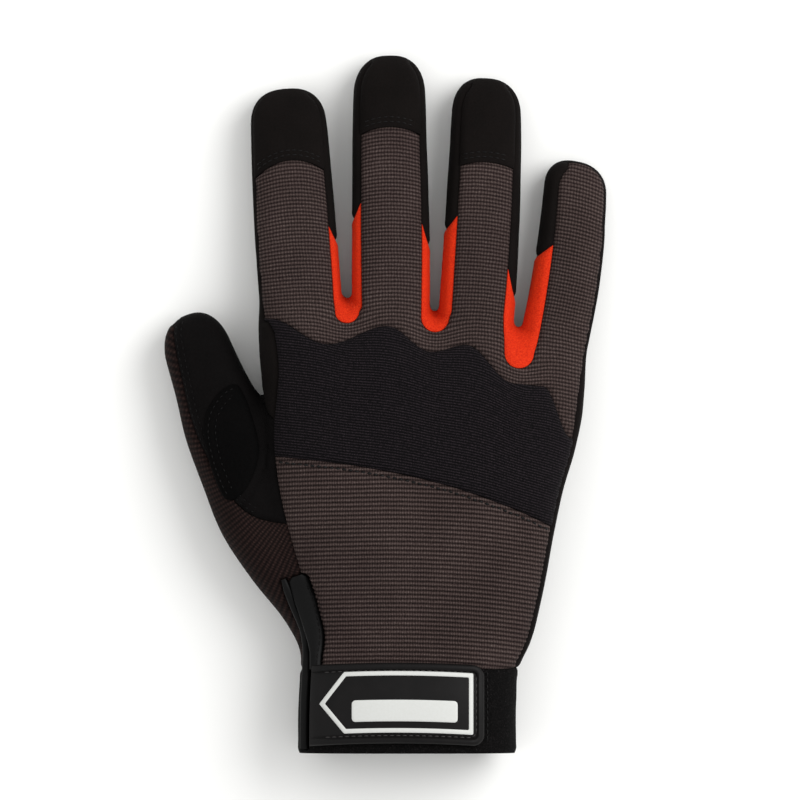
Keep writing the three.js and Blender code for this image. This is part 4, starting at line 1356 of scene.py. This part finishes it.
p, faces = plan_sheet(tab_low - np.array([3, 0]), tab_high, 0.45)
p, faces = clip(p, faces, TAB_AREA(p) - 0.01)
slit_room = area(strip_outline(slit_line(BINDING_LINE), BINDING_WIDTH + 0.3))
p, faces = clip(p, faces, -slit_room(p))
p, faces = clip(p, faces, p[:, 0] - np.interp(p[:, 1], binding_line[::-1, 1], binding_line[::-1, 0]))
tab_top = on_cuff(p, TAB_GAP + TAB_THICKNESS + tab_profile(TAB_AREA(p)))
tab_under = on_cuff(p, TAB_GAP)
piece = make_piece("closure_tab_moulding", *walled(tab_top, tab_under, faces), crease=50)
finished(piece, "moulded_rubber", VINYL, "closure_tab")
panel_meshes["closure_tab"] = (tab_top, faces)
row_low, row_high = tab_low + GROOVE_PLACE, tab_high - GROOVE_PLACE
tab_row = np.array(rounded_outline(row_low, row_high, TAB_CORNER - 2))
tab_row = spaced([*tab_row, tab_row[0]], 1.0)
tab_row = on_cuff(np.concatenate([tab_row, np.zeros((len(tab_row), 1))], axis=1), 0)
tab_row = tab_row[tab_row[:, 0] > row_low[0] + 2]
turn = int(np.hypot(*np.diff(tab_row[:, :2], axis=0).T).argmax()) + 1
tab_row = np.concatenate([tab_row[turn:], tab_row[:turn]])
# The tab's stitches use the thread painted grey for their highlights.
sewn("tab_stitches", [tab_row], ["closure_tab"], "moulded_rubber", HIGHLIGHT_PAINTED_THREAD)
EDGE_ROW = 1.0  # right of the tab
edge_row = [(tab_high[0] + EDGE_ROW, tab_high[1] - 2), (tab_high[0] + EDGE_ROW, tab_low[1] + 1)]
sewn("cuff_edge_stitches", [edge_row], ["cuff_loop_band"], "loop_fabric", BLACK_THREAD, wide=0.5)

frame_low = tab_low + RIM_WIDTH + FRAME_MARGIN
frame_high = tab_high - RIM_WIDTH - FRAME_MARGIN
frame_high[1] += PRINT_RISE
frame_middle = (frame_low[1] + frame_high[1]) / 2
FRAME_AREA = area(
    [
        (frame_high[0], frame_low[1]), (frame_high[0], frame_high[1]),
        (frame_low[0] + FRAME_POINT, frame_high[1]), (frame_low[0], frame_middle),
        (frame_low[0] + FRAME_POINT, frame_low[1]),
    ]
)
field_low = frame_low + np.array([FIELD_LEFT_MARGIN, FIELD_LOWER_MARGIN + PRINT_RISE / 2])
field_high = np.array([frame_high[0] - FIELD_RIGHT_MARGIN, field_low[1] + FIELD_HEIGHT])
FIELD_AREA = area(rounded_outline(field_low, field_high, FIELD_CORNER))


def printed(name, node, inside):
    """Raised print on the tab over an area in plan."""
    p, faces = plan_sheet(frame_low, frame_high, 0.3)
    p, faces = clip(p, faces, inside(p))
    d = inside(p)
    seat = TAB_GAP + TAB_THICKNESS
    top = on_cuff(p, seat + 0.42 - 0.18 * np.exp(-d / 0.18))
    piece = make_piece(f"{name}_print", *walled(top, on_cuff(p, seat - 0.2), faces), crease=50)
    return finished(piece, "white_print", WHITE, node)


printed("tab_frame", "tab_frame", lambda p: FRAME_LINE / 2 - np.abs(FRAME_AREA(p) - FRAME_LINE / 2))
printed("tab_write_on_field", "tab_write_on_field", FIELD_AREA)


# Floor, light and camera

PHOTO_SPAN = 276.0  # mm across the photograph's 800 pixels
PHOTO_CENTRE = np.array([5.32, 0.98])  # in the part's own frame, in mm
SILHOUETTE_HEIGHT = 12.0
LENS = 900.0  # a long lens, so that high and low parts keep one scale
SENSOR = 36.0


def make_floor():
    mesh = bpy.data.meshes.new("floor")
    corners = [(-3.0, -3.0, 0), (3.0, -3.0, 0), (3.0, 3.0, 0), (-3.0, 3.0, 0)]
    mesh.from_pydata(corners, [], [(0, 1, 2, 3)])
    floor = bpy.data.objects.new("floor", mesh)
    floor.location.z = -0.0002
    bpy.context.scene.collection.objects.link(floor)
    mesh.materials.append(new_material("pale_floor", 0.9, gloss=0.5, colour="#f4f4f2")[0])


def area_light(name, place, size, power, colour="#ffffff"):
    light = bpy.data.lights.new(name, "AREA")
    light.shape = "DISK"
    light.size = size
    light.energy = power
    light.color = linear(colour)[:3]
    lamp = bpy.data.objects.new(name, light)
    lamp.location = place
    lamp.rotation_euler = (-Vector(place)).to_track_quat("-Z", "Y").to_euler()
    bpy.context.scene.collection.objects.link(lamp)


def make_lights():
    world = bpy.data.worlds.new("studio")
    world.use_nodes = True
    world.node_tree.nodes["Background"].inputs["Color"].default_value = (1, 1, 1, 1)
    world.node_tree.nodes["Background"].inputs["Strength"].default_value = 0.85
    bpy.context.scene.world = world
    area_light("key", (0.85, 0.4, 0.9), 1.1, 13)
    area_light("fill", (-0.7, -0.1, 0.9), 0.8, 1.0)


def make_camera():
    camera = bpy.data.cameras.new("camera")
    camera.sensor_width = SENSOR
    camera.lens = LENS
    camera.clip_start = 0.1
    camera.clip_end = 20
    holder = bpy.data.objects.new("camera", camera)
    distance = PHOTO_SPAN * LENS / SENSOR + SILHOUETTE_HEIGHT
    holder.location = (PHOTO_CENTRE[0] * MM, PHOTO_CENTRE[1] * MM, distance * MM)
    bpy.context.scene.collection.objects.link(holder)
    bpy.context.scene.camera = holder


make_floor()
make_lights()
make_camera()
bpy.context.scene.view_settings.view_transform = "Standard"
